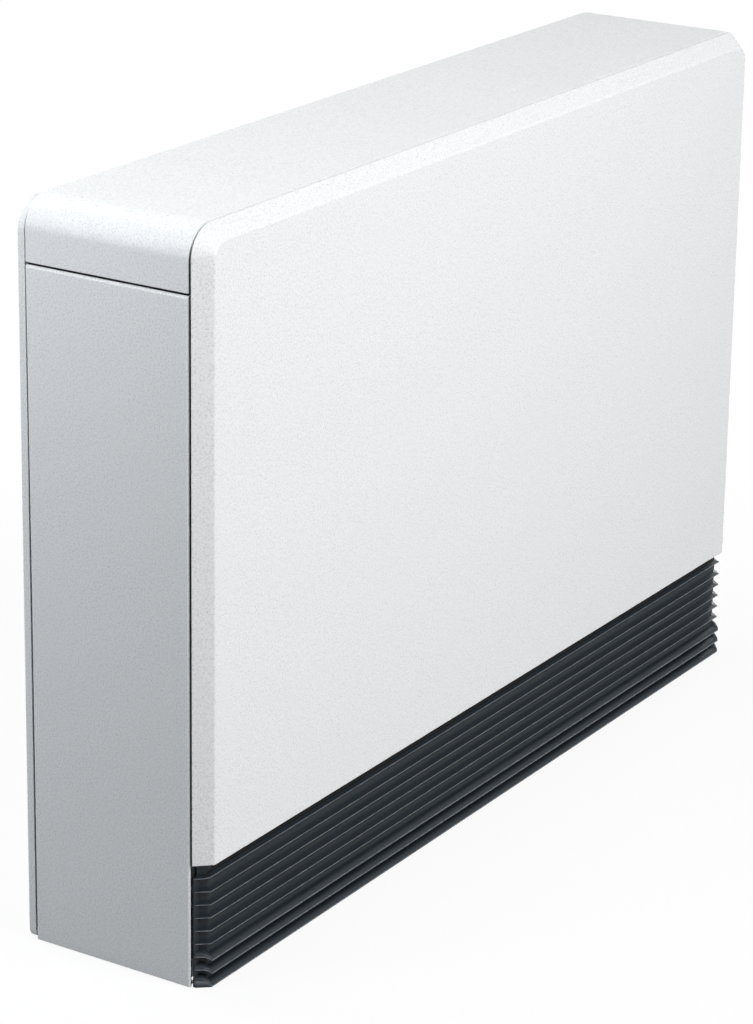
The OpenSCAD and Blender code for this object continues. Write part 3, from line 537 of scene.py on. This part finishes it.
def brushed(name, dark, light, rough, stretch):
    """Drawn or rolled metal with fine lines along one direction."""
    mat, tree, bsdf, coord = shader(name)
    lines = noise(tree, coord, 600, 4, 0.6, stretch)
    slow = noise(tree, coord, 25, 2)
    colour = ramp(tree, lines, [(0.3, dark), (0.7, light)])
    surface(tree, bsdf, colour, span(tree, slow, *rough), metallic=1.0)
    bump(tree, bsdf, (lines, 0.2, 0.00005))
    return mat


PLAIN = {
    # dark_steel is near black: a black coat that also stands in for the shade in the gap under the front
    # panel, where the inner front plate shows
    "dark_steel": dict(dark=(0.016, 0.017, 0.018), light=(0.035, 0.036, 0.038), rough=(0.55, 0.7), grain=900,
                       bumps=[(400, 0.2, 0.0001)]),
    "rail_paint": dict(dark=(0.05, 0.053, 0.056), light=(0.085, 0.088, 0.09), rough=(0.45, 0.6), grain=900,
                       bumps=[(500, 0.3, 0.0002)]),
    "insulation_board": dict(dark=(0.62, 0.57, 0.47), light=(0.80, 0.76, 0.66), rough=(0.85, 0.98), grain=450,
                             bumps=[(900, 0.6, 0.0006), (60, 0.4, 0.001)], specular=0.2,
                             mottle=(0.4, (0.70, 0.66, 0.58))),
    "storage_brick": dict(dark=(0.10, 0.062, 0.045), light=(0.24, 0.15, 0.11), rough=(0.75, 0.95), grain=380,
                          bumps=[(600, 0.7, 0.0008), (120, 0.4, 0.001)], specular=0.3,
                          mottle=(0.5, (0.16, 0.10, 0.075))),
    "white_ceramic": dict(dark=(0.78, 0.76, 0.71), light=(0.86, 0.85, 0.81), rough=(0.25, 0.4), grain=700,
                          bumps=[(300, 0.1, 0.0001)]),
    "black_rubber": dict(dark=(0.012, 0.012, 0.013), light=(0.03, 0.03, 0.032), rough=(0.6, 0.8), grain=1200,
                         bumps=[(900, 0.4, 0.0002)], specular=0.35),
    "light_plastic": dict(dark=(0.72, 0.70, 0.62), light=(0.80, 0.78, 0.71), rough=(0.35, 0.5), grain=900,
                          bumps=[(700, 0.15, 0.0001)]),
    "brown_plastic": dict(dark=(0.08, 0.038, 0.02), light=(0.13, 0.065, 0.035), rough=(0.3, 0.45), grain=900,
                          bumps=[(500, 0.15, 0.0001)]),
    "red_plastic": dict(dark=(0.42, 0.03, 0.025), light=(0.55, 0.05, 0.04), rough=(0.3, 0.45), grain=900,
                        bumps=[(500, 0.15, 0.0001)]),
}
BRUSHED = {
    "element_steel": dict(dark=(0.36, 0.33, 0.30), light=(0.55, 0.52, 0.48), rough=(0.3, 0.45),
                          stretch=(0.05, 1, 1)),
    "aluminium_sheet": dict(dark=(0.66, 0.67, 0.68), light=(0.82, 0.83, 0.84), rough=(0.28, 0.4),
                            stretch=(0.04, 1, 1)),
    "bronze": dict(dark=(0.42, 0.27, 0.11), light=(0.60, 0.41, 0.20), rough=(0.28, 0.42),
                   stretch=(1, 0.1, 1)),
}
MATERIALS = {make.__name__: make() for make in (white_paint, slate_plastic, galvanised_steel)}
MATERIALS.update({name: plain(name, **values) for name, values in PLAIN.items()})
MATERIALS.update({name: brushed(name, **values) for name, values in BRUSHED.items()})

# Every CAD node that stays shown takes the procedural finish of its material slot
for part in record["subparts"]:
    node_materials = nodes[part["node"]].data.materials
    node_materials.clear()
    node_materials.append(MATERIALS[part["material_slot"]])


# Casing

def on_outline(p):
    """True for a point on the casing's sides, rounded edges or top."""
    return math.hypot(max(abs(p.x) - HALF_W + ROUND, 0), max(p.z - TOP + ROUND, 0)) > ROUND - 1


def front_panel():
    """A bevelled pan, open behind, with a flange folded in behind the bevel."""
    flange = 11.2
    arris, rim, foot_front, foot_side = 1.3, 1.2, 1.1, 0.9
    bm = bmesh.new()
    section = ((flange, SEAM), (0, SEAM), (BEVEL, FACE))
    rings = [[at_station(bm, station, u, y) for station in arch(PANEL_LOW)] for u, y in section]
    join(bm, rings, closed=False, caps=(-1,))
    bm.faces.new((rings[1][0], rings[2][0], rings[2][-1], rings[1][-1]))

    def radius(a, b):
        ends = (a.co, b.co)
        front = all(p.y < FACE + 0.1 for p in ends)
        if all(p.z < PANEL_LOW + 0.1 for p in ends):
            return foot_front if front else foot_side
        if front:
            return arris
        return rim if all(abs(p.y - SEAM) < 0.1 and on_outline(p) for p in ends) else 0

    weigh(bm, radius)
    ob = fold(mesh_object("front_panel_pressing", bm))
    return dress(settle(ob), "casing", "white_paint", "front_panel")


def top_cover():
    """One strip folded up both sides and over the top, leaning forward over the top edge."""
    f, b = SHELL_FRONT, SHELL_BACK + BACK_TAPER
    inner = FOLD - SHEET
    corners = [(HEM, f), (0, f), (0, b), (HEM, b), (HEM, b - SHEET), (SHEET, b - SHEET), (SHEET, f + SHEET),
               (HEM, f + SHEET)]
    section = fillet(corners, [CUT_EDGE, FOLD, FOLD, CUT_EDGE, CUT_EDGE, inner, inner, CUT_EDGE])
    bm = bmesh.new()
    stations = arch(COVER_LOW, steps=24)
    rings = [[at_station(bm, station, u, y) for u, y in section] for station in stations]
    join(bm, rings)
    for ring, (place, _) in zip(rings, stations):
        rise = min(max((place.z - TOP + ROUND) / FRONT_RISE, 0), 1)
        for v in ring:
            if v.co.y < 0:
                v.co.y -= FRONT_TAPER * rise
    ob = round_edges(mesh_object("top_cover_strip", bm), 0.35, 3, angle=45)
    return dress(settle(ob), "casing", "white_paint", "top_cover")


def side_panel(side):
    """A sheet folded on all four edges and cut back round the grille, with a tongue under the cover."""
    f, b = SHELL_FRONT, SHELL_BACK
    top_b, mid = b + BACK_TAPER, TAPER_FROM
    low, high, tongue = SKIRT, SIDE_TOP, TONGUE_TOP
    ledge, front_hem, inset = 5.0, 16.0, 3.0
    rim, void, fin_top, panel_foot = 2.5, 4.6, FIN_TOP + 0.3, PANEL_LOW + 1
    top_fold, foot_fold, return_fold = 3.2, 1.5, 0.9
    bm = bmesh.new()

    def at(u, y, z):
        """The vertex at u in from the side, a new one where there is none."""
        for v in bm.verts:
            if (v.co - Vector((side * (HALF_W - u), y, z))).length < 1e-4:
                return v
        return bm.verts.new((side * (HALF_W - u), y, z))

    def face(*corners):
        bm.faces.new([at(*c) for c in corners])

    face((0, f, low), (0, b, low), (0, b, mid), (0, top_b, high), (0, f, high))
    face((0, f, low), (0, f, high), (ledge, f, high), (front_hem, f, high), (front_hem, f, panel_foot),
         (void, f, panel_foot), (void, f, fin_top), (rim, f, fin_top), (rim, f, low))
    face((0, b, mid), (0, b, low), (HEM, b, low), (HEM, b, mid))
    face((0, top_b, high), (0, b, mid), (HEM, b, mid), (HEM, top_b, high), (ledge, top_b, high))
    face((0, f, high), (0, top_b, high), (ledge, top_b, high), (ledge, top_b - inset, high),
         (ledge, f + inset, high), (ledge, f, high))
    face((ledge, f + inset, high), (ledge, top_b - inset, high), (ledge, top_b - inset, tongue),
         (ledge, f + inset, tongue))
    face((0, b, low), (0, f, low), (rim, f, low), (rim, f + inset, low), (HEM, f + inset, low), (HEM, b, low))

    def radius(p, q):
        inside = [abs(abs(v.co.x) - HALF_W) > 0.1 for v in (p, q)]
        if any(inside):
            return 0.0 if all(inside) else return_fold
        if abs(p.co.z - q.co.z) > 0.1:
            return FOLD
        return top_fold if p.co.z > high - 1 else foot_fold

    weigh(bm, radius)
    return fold(mesh_object(("left" if side < 0 else "right") + "_side_sheet", bm))


def side_panels():
    """Both side panels, the right one with the hole for the knob's dish."""
    dress(settle(side_panel(-1)), "casing", "white_paint", "left_side_panel")
    hole = bmesh.new()
    rod(hole, KNOB, X_AXIS, DISH_R + DISH_WALL + 0.3, -8, 3, 72)
    right = cut(side_panel(1), mesh_object("knob_hole", hole))
    dress(settle(right), "casing", "white_paint", "right_side_panel")


def rear_outline(inset, steps=14):
    """Outline of the rear plate, with its corner radii made smaller as it moves in."""
    top_r, foot_r, least = ROUND - 2, 9.0, 0.6
    foot_z, top_z = SKIRT + foot_r, REAR_TOP - top_r
    out = []
    for side, z, r, start in ((-1, foot_z, foot_r, 180), (1, foot_z, foot_r, 270), (1, top_z, top_r, 0),
                              (-1, top_z, top_r, 90)):
        if r > inset:
            x = side * (HALF_W - r)
        else:
            x, z = side * (HALF_W - inset - least), SKIRT + inset + least
        out += quarter(x, z, max(r - inset, least), start, steps)
    return out


def rear_plate():
    """A shallow pan with a raised bead round a flat field, and the two holes for the wall fixing."""
    bead, bead_r = 8.0, 0.9
    bm = bmesh.new()
    levels = ((0, REAR_FRONT), (0, BACK), (bead, BACK), (bead, FIELD))
    rings = [[bm.verts.new((x, y, z)) for x, z in rear_outline(inset)] for inset, y in levels]
    join(bm, rings, caps=(-1,))
    bends = {}
    for ring, r in zip(rings[1:], (FOLD, bead_r, bead_r)):
        bends.update({frozenset(pair): r for pair in zip(ring, ring[1:] + ring[:1])})
    weigh(bm, lambda a, b: bends.get(frozenset((a, b)), 0.0))
    ob = bake(fold(mesh_object("rear_plate_pressing", bm)))
    holes = bmesh.new()
    for side in (-1, 1):
        place = (side * FIXING["spacing_x_mm"] / 2, REAR_IN, FIXING_Z)
        rod(holes, place, Y_AXIS, FIXING["hole_r_mm"], -6, 6, 40)
    cut(ob, mesh_object("wall_holes", holes))
    return dress(settle(ob), "casing", "white_paint", "rear_plate")


# Outlet grille: one comb profile swept round both corners, with air slots in its wall

def fin_z(i):
    """Height of a fin's tip, counted from the top."""
    return FIN_TOP - FIN_PITCH * i - (0 if i < FINS else LOW_FIN_STEP)


def level_fin(i, rising):
    """Points of (s, z, painted shade) before and after the tip of a fin that stands out level."""
    z = fin_z(i)
    unshaded_depth, shaded_depth = (7.4, 6.8) if i == 0 else (6.8, 6.2)
    # The wall under a fin takes painted shade, full just below the fin and fading out lower down
    wall = [(WALL_S, z - unshaded_depth, 0), (WALL_S, z - shaded_depth, 1), (WALL_S, z - UNDER_FIN, 1)]
    under = [(PROUD + FIN_OUT * f, z - FIN_R - FIN_DROP * f ** 1.8, f) for f in reversed(rising)]
    over = [(PROUD + FIN_OUT * f, z + FIN_R + FIN_RISE * f ** 1.6, 0) for f in rising]
    return wall + under, over


def drooping_fin(i, rising):
    """The same for a fin that curves down from the wall; the last one closes the grille's foot."""
    z = fin_z(i)
    painted_shade = [0] * len(rising) if i == FINS else [0] * (len(rising) - 2) + [0.7, 1]
    over = [(WALL_S * f, z + FIN_R + DROOP * math.sqrt(1 - (1 - f) ** 2), shade)
            for f, shade in zip((share ** 1.8 for share in rising), painted_shade)]
    if i == LAST_FIN:
        return [], over
    return [(WALL_S, z - UNDER_FIN, 1)] + [(WALL_S * f, z - FIN_R, f) for f in reversed(rising)], over


def comb(steps=7):
    """Outline of the fins from foot to top as (s, z, painted highlight, painted shade, fin), with rounded
    tips.
    """
    foot_in, foot_shade = 0.6, 0.8
    # The grille's foot also takes painted shade
    out = [(WALL_S, GRILLE_LOW, 0, 0, None), (foot_in, GRILLE_LOW, 0, foot_shade, None)]
    rising = [k / steps for k in range(1, steps + 1)]
    for i in reversed(range(LAST_FIN + 1)):
        under, over = level_fin(i, rising) if i < FINS else drooping_fin(i, rising)
        tip = PROUD if i < FINS else 0.0
        out += [(s, z, 0, painted_shade, i) for s, z, painted_shade in under]
        out += [(tip + FIN_R - FIN_R * math.cos(t), fin_z(i) + FIN_R * math.sin(t), 1, 0, i)
                for t in (math.radians(a) for a in (-90, -45, 0, 45, 90))]
        out += [(s, z, 0, painted_shade, i) for s, z, painted_shade in over]
    back = WALL_S + GRILLE_WALL
    out += [(s, GRILLE_TOP, 0, 0, CHEEK) for s in (WALL_S, back)]
    return out + [(back, GRILLE_LOW, 0, 0, None)]


def grille_plan(s):
    """Plan of the grille at s: right flank from its end, rounded corner, front, and the same on the left."""
    y = TIP_LINE + s
    turn = math.pi / 2 - FLANK
    corner = CORNER_X + (PROUD - s) * math.tan(turn / 2)
    end_x = min(corner + (GRILLE_BACK - y) * math.tan(FLANK), GRILLE_HALF)
    end_y = min(y + (end_x - corner) / math.tan(FLANK), GRILLE_BACK - 0.05)
    centre = Vector((corner - CORNER_R * math.tan(turn / 2), y + CORNER_R))
    bend = Vector((centre.x + CORNER_R * math.sin(turn), centre.y - CORNER_R * math.cos(turn)))
    right = [(end_x, GRILLE_BACK)]
    for k in range(FLANK_STEPS):
        f = k / FLANK_STEPS
        right.append((end_x + (bend.x - end_x) * f, end_y + (bend.y - end_y) * f))
    for k in range(CORNER_STEPS + 1):
        t = turn * (1 - k / CORNER_STEPS)
        right.append((centre.x + CORNER_R * math.sin(t), centre.y - CORNER_R * math.cos(t)))
    right.append((CHEEK_END, y))
    return right + [(-x, depth) for x, depth in reversed(right)]


def lift(fin, k, count):
    """Rise of a fin or the cheek over its height in the comb, k stations from the grille's nearer end."""
    top_fin, low_fins, last_fin, level_share = 1.5, 3.6, 4.6, 0.35
    if fin is None:
        return 0.0
    if fin == CHEEK:
        return CHEEK_TOP - GRILLE_TOP if k < count / 2 - 1 else 0.0
    f = min(max((k - 1) / (FLANK_STEPS + CORNER_STEPS * 0.6), 0.0), 1.0)
    f = min(max((f - level_share) / (1 - level_share), 0.0), 1.0)
    f = f * f * (3 - 2 * f)
    if fin == 0:
        return top_fin * f
    if fin >= FINS:
        return (last_fin if fin == LAST_FIN else low_fins) * (1 - f)
    return 0.0


def grille_slots():
    """Cutter for the rows of air slots, one row under each fin but the last."""
    columns, pitch, half, height = 16, 56.0, 25.0, 1.85
    y = TIP_LINE + WALL_S
    slots = bmesh.new()
    for i in range(LAST_FIN):
        top = fin_z(i) - FIN_R - (FIN_DROP if i < FINS else 0) - 0.15
        for column in range(columns):
            x = (column - (columns - 1) / 2) * pitch
            solid_box(slots, (x - half, y - 1, top - height), (x + half, y + GRILLE_WALL + 1, top))
    return mesh_object("slots", slots)


def grille_moulding():
    """The comb swept along its plan, with a painted highlight at the tips and the cheeks' ends and painted
    shade under the fins.
    """
    bm = bmesh.new()
    edge_highlight = bm.verts.layers.float.new("edge_highlight")
    painted_shade = bm.verts.layers.float.new("painted_shade")
    profile = comb()
    plans = [grille_plan(point[0]) for point in profile]
    count = len(plans[0])
    rings = []
    for station in range(count):
        k = min(station, count - 1 - station)
        ring = []
        for (_, z, tip, shade, fin), plan in zip(profile, plans):
            v = bm.verts.new((*plan[station], z + lift(fin, k, count)))
            # Painted highlight along the tips and the cheeks' ends; painted shade under the fins, half as
            # strong on the flanks
            v[edge_highlight] = 0.7 if fin == CHEEK and k < 2 else tip
            v[painted_shade] = shade * (0.5 if k <= FLANK_STEPS and fin is not None else 1)
            ring.append(v)
        rings.append(ring)
    join(bm, rings)
    ob = cut(mesh_object("outlet_grille_moulding", bm), grille_slots())
    return dress(settle(ob, 35), "grille", "slate_plastic", "outlet_grille")


def grille_arms():
    """Four arms that reach over the base tray's lip, each a flat bar with a thin rib under it."""
    low, high, rib_low = 26.3, 29.8, 20.3
    front = TIP_LINE + WALL_S + GRILLE_WALL - 0.6
    arms = bmesh.new()
    for share in (-0.8, -0.32, 0.32, 0.8):
        x = share * HALF_W
        solid_box(arms, (x - 6, front, low), (x + 6, ARM_BACK, high))
        solid_box(arms, (x - 1, front, rib_low), (x + 1, SHELL_FRONT + 0.2, low))
    ob = round_edges(mesh_object("grille_arms", arms), 0.5, 2)
    return dress(settle(ob), "grille", "slate_plastic")


def grille_webs():
    """Upright webs that close the grille's two ends."""
    inner = HALF_W - 17.5
    webs = bmesh.new()
    for side in (-1, 1):
        solid_box(webs, (side * GRILLE_HALF, GRILLE_BACK - GRILLE_WALL, GRILLE_LOW),
                  (side * inner, GRILLE_BACK, FIN_TOP + 0.3))
    ob = round_edges(mesh_object("grille_end_webs", webs), 0.3, 2)
    return dress(settle(ob), "grille", "slate_plastic")


# Rear screws

def pan_screw(bm, centre, r=3.5, h=1.4, shank_r=1.75, shank=9.2, steps=6):
    """Screw with a domed head, pointing forward."""
    flat, rim = 0.55, 0.35
    profile = [(0, -shank), (shank_r, -shank), (shank_r, 0), (r, 0), (r, h * rim)]
    for k in range(1, steps + 1):
        t = math.radians(90 * k / steps)
        profile.append((r * (flat + (1 - flat) * math.cos(t)), h * (rim + (1 - rim) * math.sin(t))))
    profile.append((0, h))
    lathe(bm, profile, centre, Y_AXIS, 28)


def rear_screws():
    """All the rear plate's screws; each arm of the cross recess is cut in a pass of its own."""
    arm, half_width, floor_y = 1.9, 0.35, FIELD + 0.5
    bm = bmesh.new()
    for x, z in REAR_SCREWS:
        pan_screw(bm, (x, FIELD, z))
    ob = mesh_object("rear_pan_screws", bm)
    for half_x, half_z in ((arm, half_width), (half_width, arm)):
        slots = bmesh.new()
        for x, z in REAR_SCREWS:
            solid_box(slots, (x - half_x, floor_y, z - half_z), (x + half_x, FIELD + 3, z + half_z))
        cut(ob, mesh_object("slots", slots))
    return dress(settle(ob), "casing", "galvanised_steel", "rear_screws")


# Charge knob and its dish

def knob():
    """Round grip with fluted edge, and a groove in its face for the pointer."""
    r, back, face = KNOB_R, KNOB_BACK, KNOB_FACE
    flutes, flute_depth = 24, 0.45
    # Points of (radius, x, share of the flutes' depth) from the skirt at the back to the hollow in the face
    outline = [(r, back, 0.0), (r, back + 4.9, 0.0), (r - 0.6, back + 5.5, 0.0), (r - 2.0, back + 5.7, 1.0),
               (r - 2.2, face - 1.2, 1.0), (r - 2.6, face - 0.4, 0.8), (r - 3.4, face, 0.3), (8.0, face, 0.0),
               (7.2, face - 0.5, 0.0)]
    bm = bmesh.new()
    rings = []
    turns = 6 * flutes
    for k in range(turns):
        t = 2 * math.pi * k / turns
        flute = flute_depth * (0.5 - 0.5 * math.cos(flutes * t))
        ring = [(x, radius - flute * share) for radius, x, share in outline]
        rings.append([bm.verts.new((x, KNOB.y + out * math.cos(t), KNOB.z + out * math.sin(t)))
                      for x, out in ring])
    join(bm, rings + rings[:1], closed=False, caps=())
    for end in (-1, 0):
        bm.faces.new([ring[end] for ring in rings])
    groove = bmesh.new()
    solid_box(groove, (face - 1.0, KNOB.y - 0.7, KNOB.z + 8.6), (face + 1, KNOB.y + 0.7, KNOB.z + r))
    ob = cut(mesh_object("charge_knob_grip", bm), mesh_object("pointer_groove", groove))
    return dress(settle(ob, 35), "knob", "slate_plastic", "charge_knob")


def pointer():
    """Light line let into the groove of the knob's face."""
    half, inner_end, outer_end = 0.68, 8.7, KNOB_R - 3.6
    line = bmesh.new()
    solid_box(line, (KNOB_FACE - 1.05, KNOB.y - half, KNOB.z + inner_end),
              (KNOB_FACE - 0.6, KNOB.y + half, KNOB.z + outer_end))
    ob = round_edges(mesh_object("charge_knob_pointer", line), 0.1, 1)
    return dress(settle(ob), "knob", "light_plastic")


def bezel():
    """The dish: a bored floor, a wall with a rounded lip, and a flange behind the side panel."""
    r, outer, bore = DISH_R, DISH_R + DISH_WALL, 3.3
    flange, lip = 5.0, 0.8
    flange_back, flange_front = HALF_W - 2.7, HALF_W - 1.2
    floor_x = DISH_X + DISH_WALL
    profile = [(bore, DISH_X), (outer, DISH_X), (outer, flange_back), (outer + flange, flange_back),
               (outer + flange, flange_front), (outer, flange_front)]
    profile += quarter(outer - lip, HALF_W - lip, lip, 0) + quarter(r + lip, HALF_W - lip, lip, 90)
    profile += [(r - 0.6, DISH_X + 5), (r - 3, floor_x), (bore, floor_x)]
    bm = bmesh.new()
    lathe(bm, [(radius, x - HALF_W) for radius, x in profile], KNOB, X_AXIS, 96)
    ob = mesh_object("knob_dish", bm)
    return dress(settle(ob, 35), "casing", "slate_plastic", "knob_bezel")


def scale_marks():
    """Eleven marks on the dish's floor over the knob's whole turn, the first, middle and last ones longer."""
    count, half, outer = 11, 0.35, DISH_R - 4.2
    sweep = TURN["range_deg"][1]
    floor_x = DISH_X + DISH_WALL
    marks = bmesh.new()
    for k in range(count):
        length = 3.6 if k % 5 == 0 else 2.2
        mark = bmesh.new()
        solid_box(mark, (floor_x - 0.1, -half, outer - length), (floor_x + 0.12, half, outer))
        spin = Matrix.Rotation(math.radians(-sweep * k / (count - 1)), 4, "X")
        bmesh.ops.transform(mark, matrix=Matrix.Translation((0, KNOB.y, KNOB.z)) @ spin, verts=mark.verts)
        mesh = bpy.data.meshes.new("mark")
        mark.to_mesh(mesh)
        mark.free()
        marks.from_mesh(mesh)
        bpy.data.meshes.remove(mesh)
    ob = mesh_object("knob_scale_marks", marks)
    return dress(settle(ob), "casing", "light_plastic")


# Cable gland

def gland():
    """Rubber body through the rear plate, with a rounded collar outside."""
    bore, body_r, collar_r = ENTRY["r_mm"], 10.0, 14.0
    inner_end = -SHEET - 14
    profile = [(bore, inner_end), (body_r, inner_end), (body_r, 0), (collar_r - 0.4, 0), (collar_r, 0.35),
               (collar_r, 1.5), (collar_r - 0.5, 2.0), (11.2, 2.0), (10.4, 2.3), (bore + 0.8, 2.3),
               (bore, 1.6)]
    bm = bmesh.new()
    lathe(bm, profile, (GLAND_X, FIELD, GLAND_Z), Y_AXIS, 60)
    ob = mesh_object("cable_gland_body", bm)
    return dress(settle(ob, 35), "casing", "black_rubber", "cable_gland")


def gland_nut():
    """Hexagon nut with chamfered ends, inside the rear plate."""
    r, height, chamfer, bore = 13.9, 7.0, 0.6, 10.05
    corners = [math.radians(60 * k) for k in range(6)]
    bm = bmesh.new()
    rings = []
    for y, grow in ((-height, 0.94), (chamfer - height, 1.0), (-chamfer, 1.0), (0, 0.94)):
        ring = [(r * grow * math.cos(t), r * grow * math.sin(t)) for t in corners]
        rings.append([bm.verts.new((GLAND_X + x, REAR_IN + y, GLAND_Z + z)) for x, z in ring])
    join(bm, rings)
    hole = bmesh.new()
    rod(hole, (GLAND_X, FIELD, GLAND_Z), Y_AXIS, bore, -9, 1, 48)
    ob = cut(mesh_object("cable_gland_nut", bm), mesh_object("nut_bore", hole))
    return dress(settle(ob), "casing", "black_rubber")


for build in (front_panel, top_cover, side_panels, rear_plate, grille_moulding, grille_arms, grille_webs,
              rear_screws, knob, pointer, bezel, scale_marks, gland, gland_nut):
    build()


# Floor, light and camera, in metres

def mix_shader(tree, fac, a, b):
    """Shader between a and b."""
    node = tree.nodes.new("ShaderNodeMixShader")
    for socket, value in zip(node.inputs, (fac, a, b)):
        feed(tree, socket, value)
    return node.outputs[0]


def seen_directly(tree):
    """1 for camera, glossy and transmission rays."""
    path = tree.nodes.new("ShaderNodeLightPath").outputs
    value = path["Is Camera Ray"]
    for kind in ("Is Glossy Ray", "Is Transmission Ray"):
        value = maths(tree, "MAXIMUM", value, path[kind])
    return value


def coloured(tree, kind, colour, strength=None):
    """Output of a diffuse, emission or background node of one colour."""
    node = tree.nodes.new(kind)
    node.inputs["Color"].default_value = (*colour, 1)
    if strength is not None:
        node.inputs["Strength"].default_value = strength
    return node.outputs[0]


def floor():
    """White studio floor: shaded a little near the heater, evenly bright farther out, grey as a reflector."""
    half_size, near, far, near_glow = 6.0, 0.62, 1.0, 0.90
    bm = bmesh.new()
    bmesh.ops.create_grid(bm, x_segments=8, y_segments=8, size=half_size)
    ob = link_mesh("floor", bm)
    mat = bpy.data.materials.new("studio_floor")
    mat.use_nodes = True
    tree = mat.node_tree
    tree.nodes.clear()
    shade = coloured(tree, "ShaderNodeBsdfDiffuse", (0.92, 0.92, 0.92))
    glow = coloured(tree, "ShaderNodeEmission", (1, 1, 1))
    grey = coloured(tree, "ShaderNodeBsdfDiffuse", (0.22, 0.22, 0.225))
    reach = tree.nodes.new("ShaderNodeVectorMath")
    reach.operation = "LENGTH"
    tree.links.new(tree.nodes.new("ShaderNodeTexCoord").outputs["Object"], reach.inputs[0])
    pale = mix_shader(tree, span(tree, reach.outputs["Value"], near_glow, 1.0, near, far), shade, glow)
    out = tree.nodes.new("ShaderNodeOutputMaterial")
    tree.links.new(mix_shader(tree, seen_directly(tree), grey, pale), out.inputs["Surface"])
    ob.data.materials.append(mat)


def world():
    """White where it is seen, soft and slightly cool where it lights the heater."""
    scene.world = bpy.data.worlds.new("studio")
    scene.world.use_nodes = True
    tree = scene.world.node_tree
    tree.nodes.clear()
    white = coloured(tree, "ShaderNodeBackground", (1, 1, 1), 1.0)
    soft = coloured(tree, "ShaderNodeBackground", (0.97, 0.985, 1.0), 0.136)
    out = tree.nodes.new("ShaderNodeOutputWorld")
    tree.links.new(mix_shader(tree, seen_directly(tree), soft, white), out.inputs["Surface"])


def lamp(name, place, target, size, power, colour=(1, 1, 1)):
    """Rectangular lamp at a place, turned to a target, with its power in watts."""
    data = bpy.data.lights.new(name, "AREA")
    data.shape = "RECTANGLE"
    data.size, data.size_y = size
    data.energy = power
    data.color = colour
    ob = bpy.data.objects.new(name, data)
    ob.location = place
    ob.rotation_mode = "QUATERNION"
    ob.rotation_quaternion = (Vector(target) - Vector(place)).to_track_quat("-Z", "Y")
    scene.collection.objects.link(ob)


def lamps():
    """Key in front, a faint light over the top with one behind it, and fills for both ends and the rear."""
    side = HALF_W * MM
    cool = (0.95, 1.0, 1.06)
    lamp("key", (-0.3, -2.6, 1.75), (0, 0, 0.35), (1.6, 1.1), 76)
    lamp("top_light", (0.1, 0, 2.1), (0, 0, 0.67), (1.2, 0.5), 2.1)
    lamp("rear_light", (-0.2, 1.9, 2.1), (0, 0, 0.67), (1.2, 0.5), 21.5)
    lamp("end_light", (-1.0, 0.12, 1.15), (-0.1, 0.05, 1.05), (0.5, 0.3), 2.1)
    lamp("left_fill", (-1.8, 1.2, 1.5), (-side, 0, 0.5), (0.9, 0.9), 7.3, cool)
    lamp("side_fill", (-1.4, 0.6, 0.8), (-side, 0, 0.5), (0.5, 0.5), 3.0, cool)
    lamp("rear_fill", (0, 2.8, 0.45), (0, 0, 0.35), (0.8, 0.4), 21)
    lamp("right_fill", (2.5, 0.3, 0.45), (side, 0, 0.35), (0.8, 0.4), 14)


def camera():
    """Matches the photograph: looks down on the front from beyond the left end."""
    photo_height, focal_pixels, shift_pixels = 1024, 3561.2, -100
    sensor = 36
    place = (-2.7069, -1.6719, 1.4102)
    yaw, pitch, roll = (math.radians(a) for a in (57.62, 18.016, 0.857))
    forward = Vector((math.sin(yaw) * math.cos(pitch), math.cos(yaw) * math.cos(pitch), -math.sin(pitch)))
    level = forward.cross(Vector((0, 0, 1))).normalized()
    upright = level.cross(forward)
    right = level * math.cos(roll) + upright * math.sin(roll)
    up = upright * math.cos(roll) - level * math.sin(roll)
    data = bpy.data.cameras.new("camera")
    data.sensor_width = sensor
    data.lens = sensor * focal_pixels / photo_height
    data.shift_y = shift_pixels / photo_height
    data.clip_end = 100
    ob = bpy.data.objects.new("camera", data)
    ob.matrix_world = Matrix.Translation(place) @ Matrix((right, up, -forward)).transposed().to_4x4()
    scene.collection.objects.link(ob)
    scene.camera = ob


floor()
world()
lamps()
camera()
scene.view_settings.view_transform = "Standard"
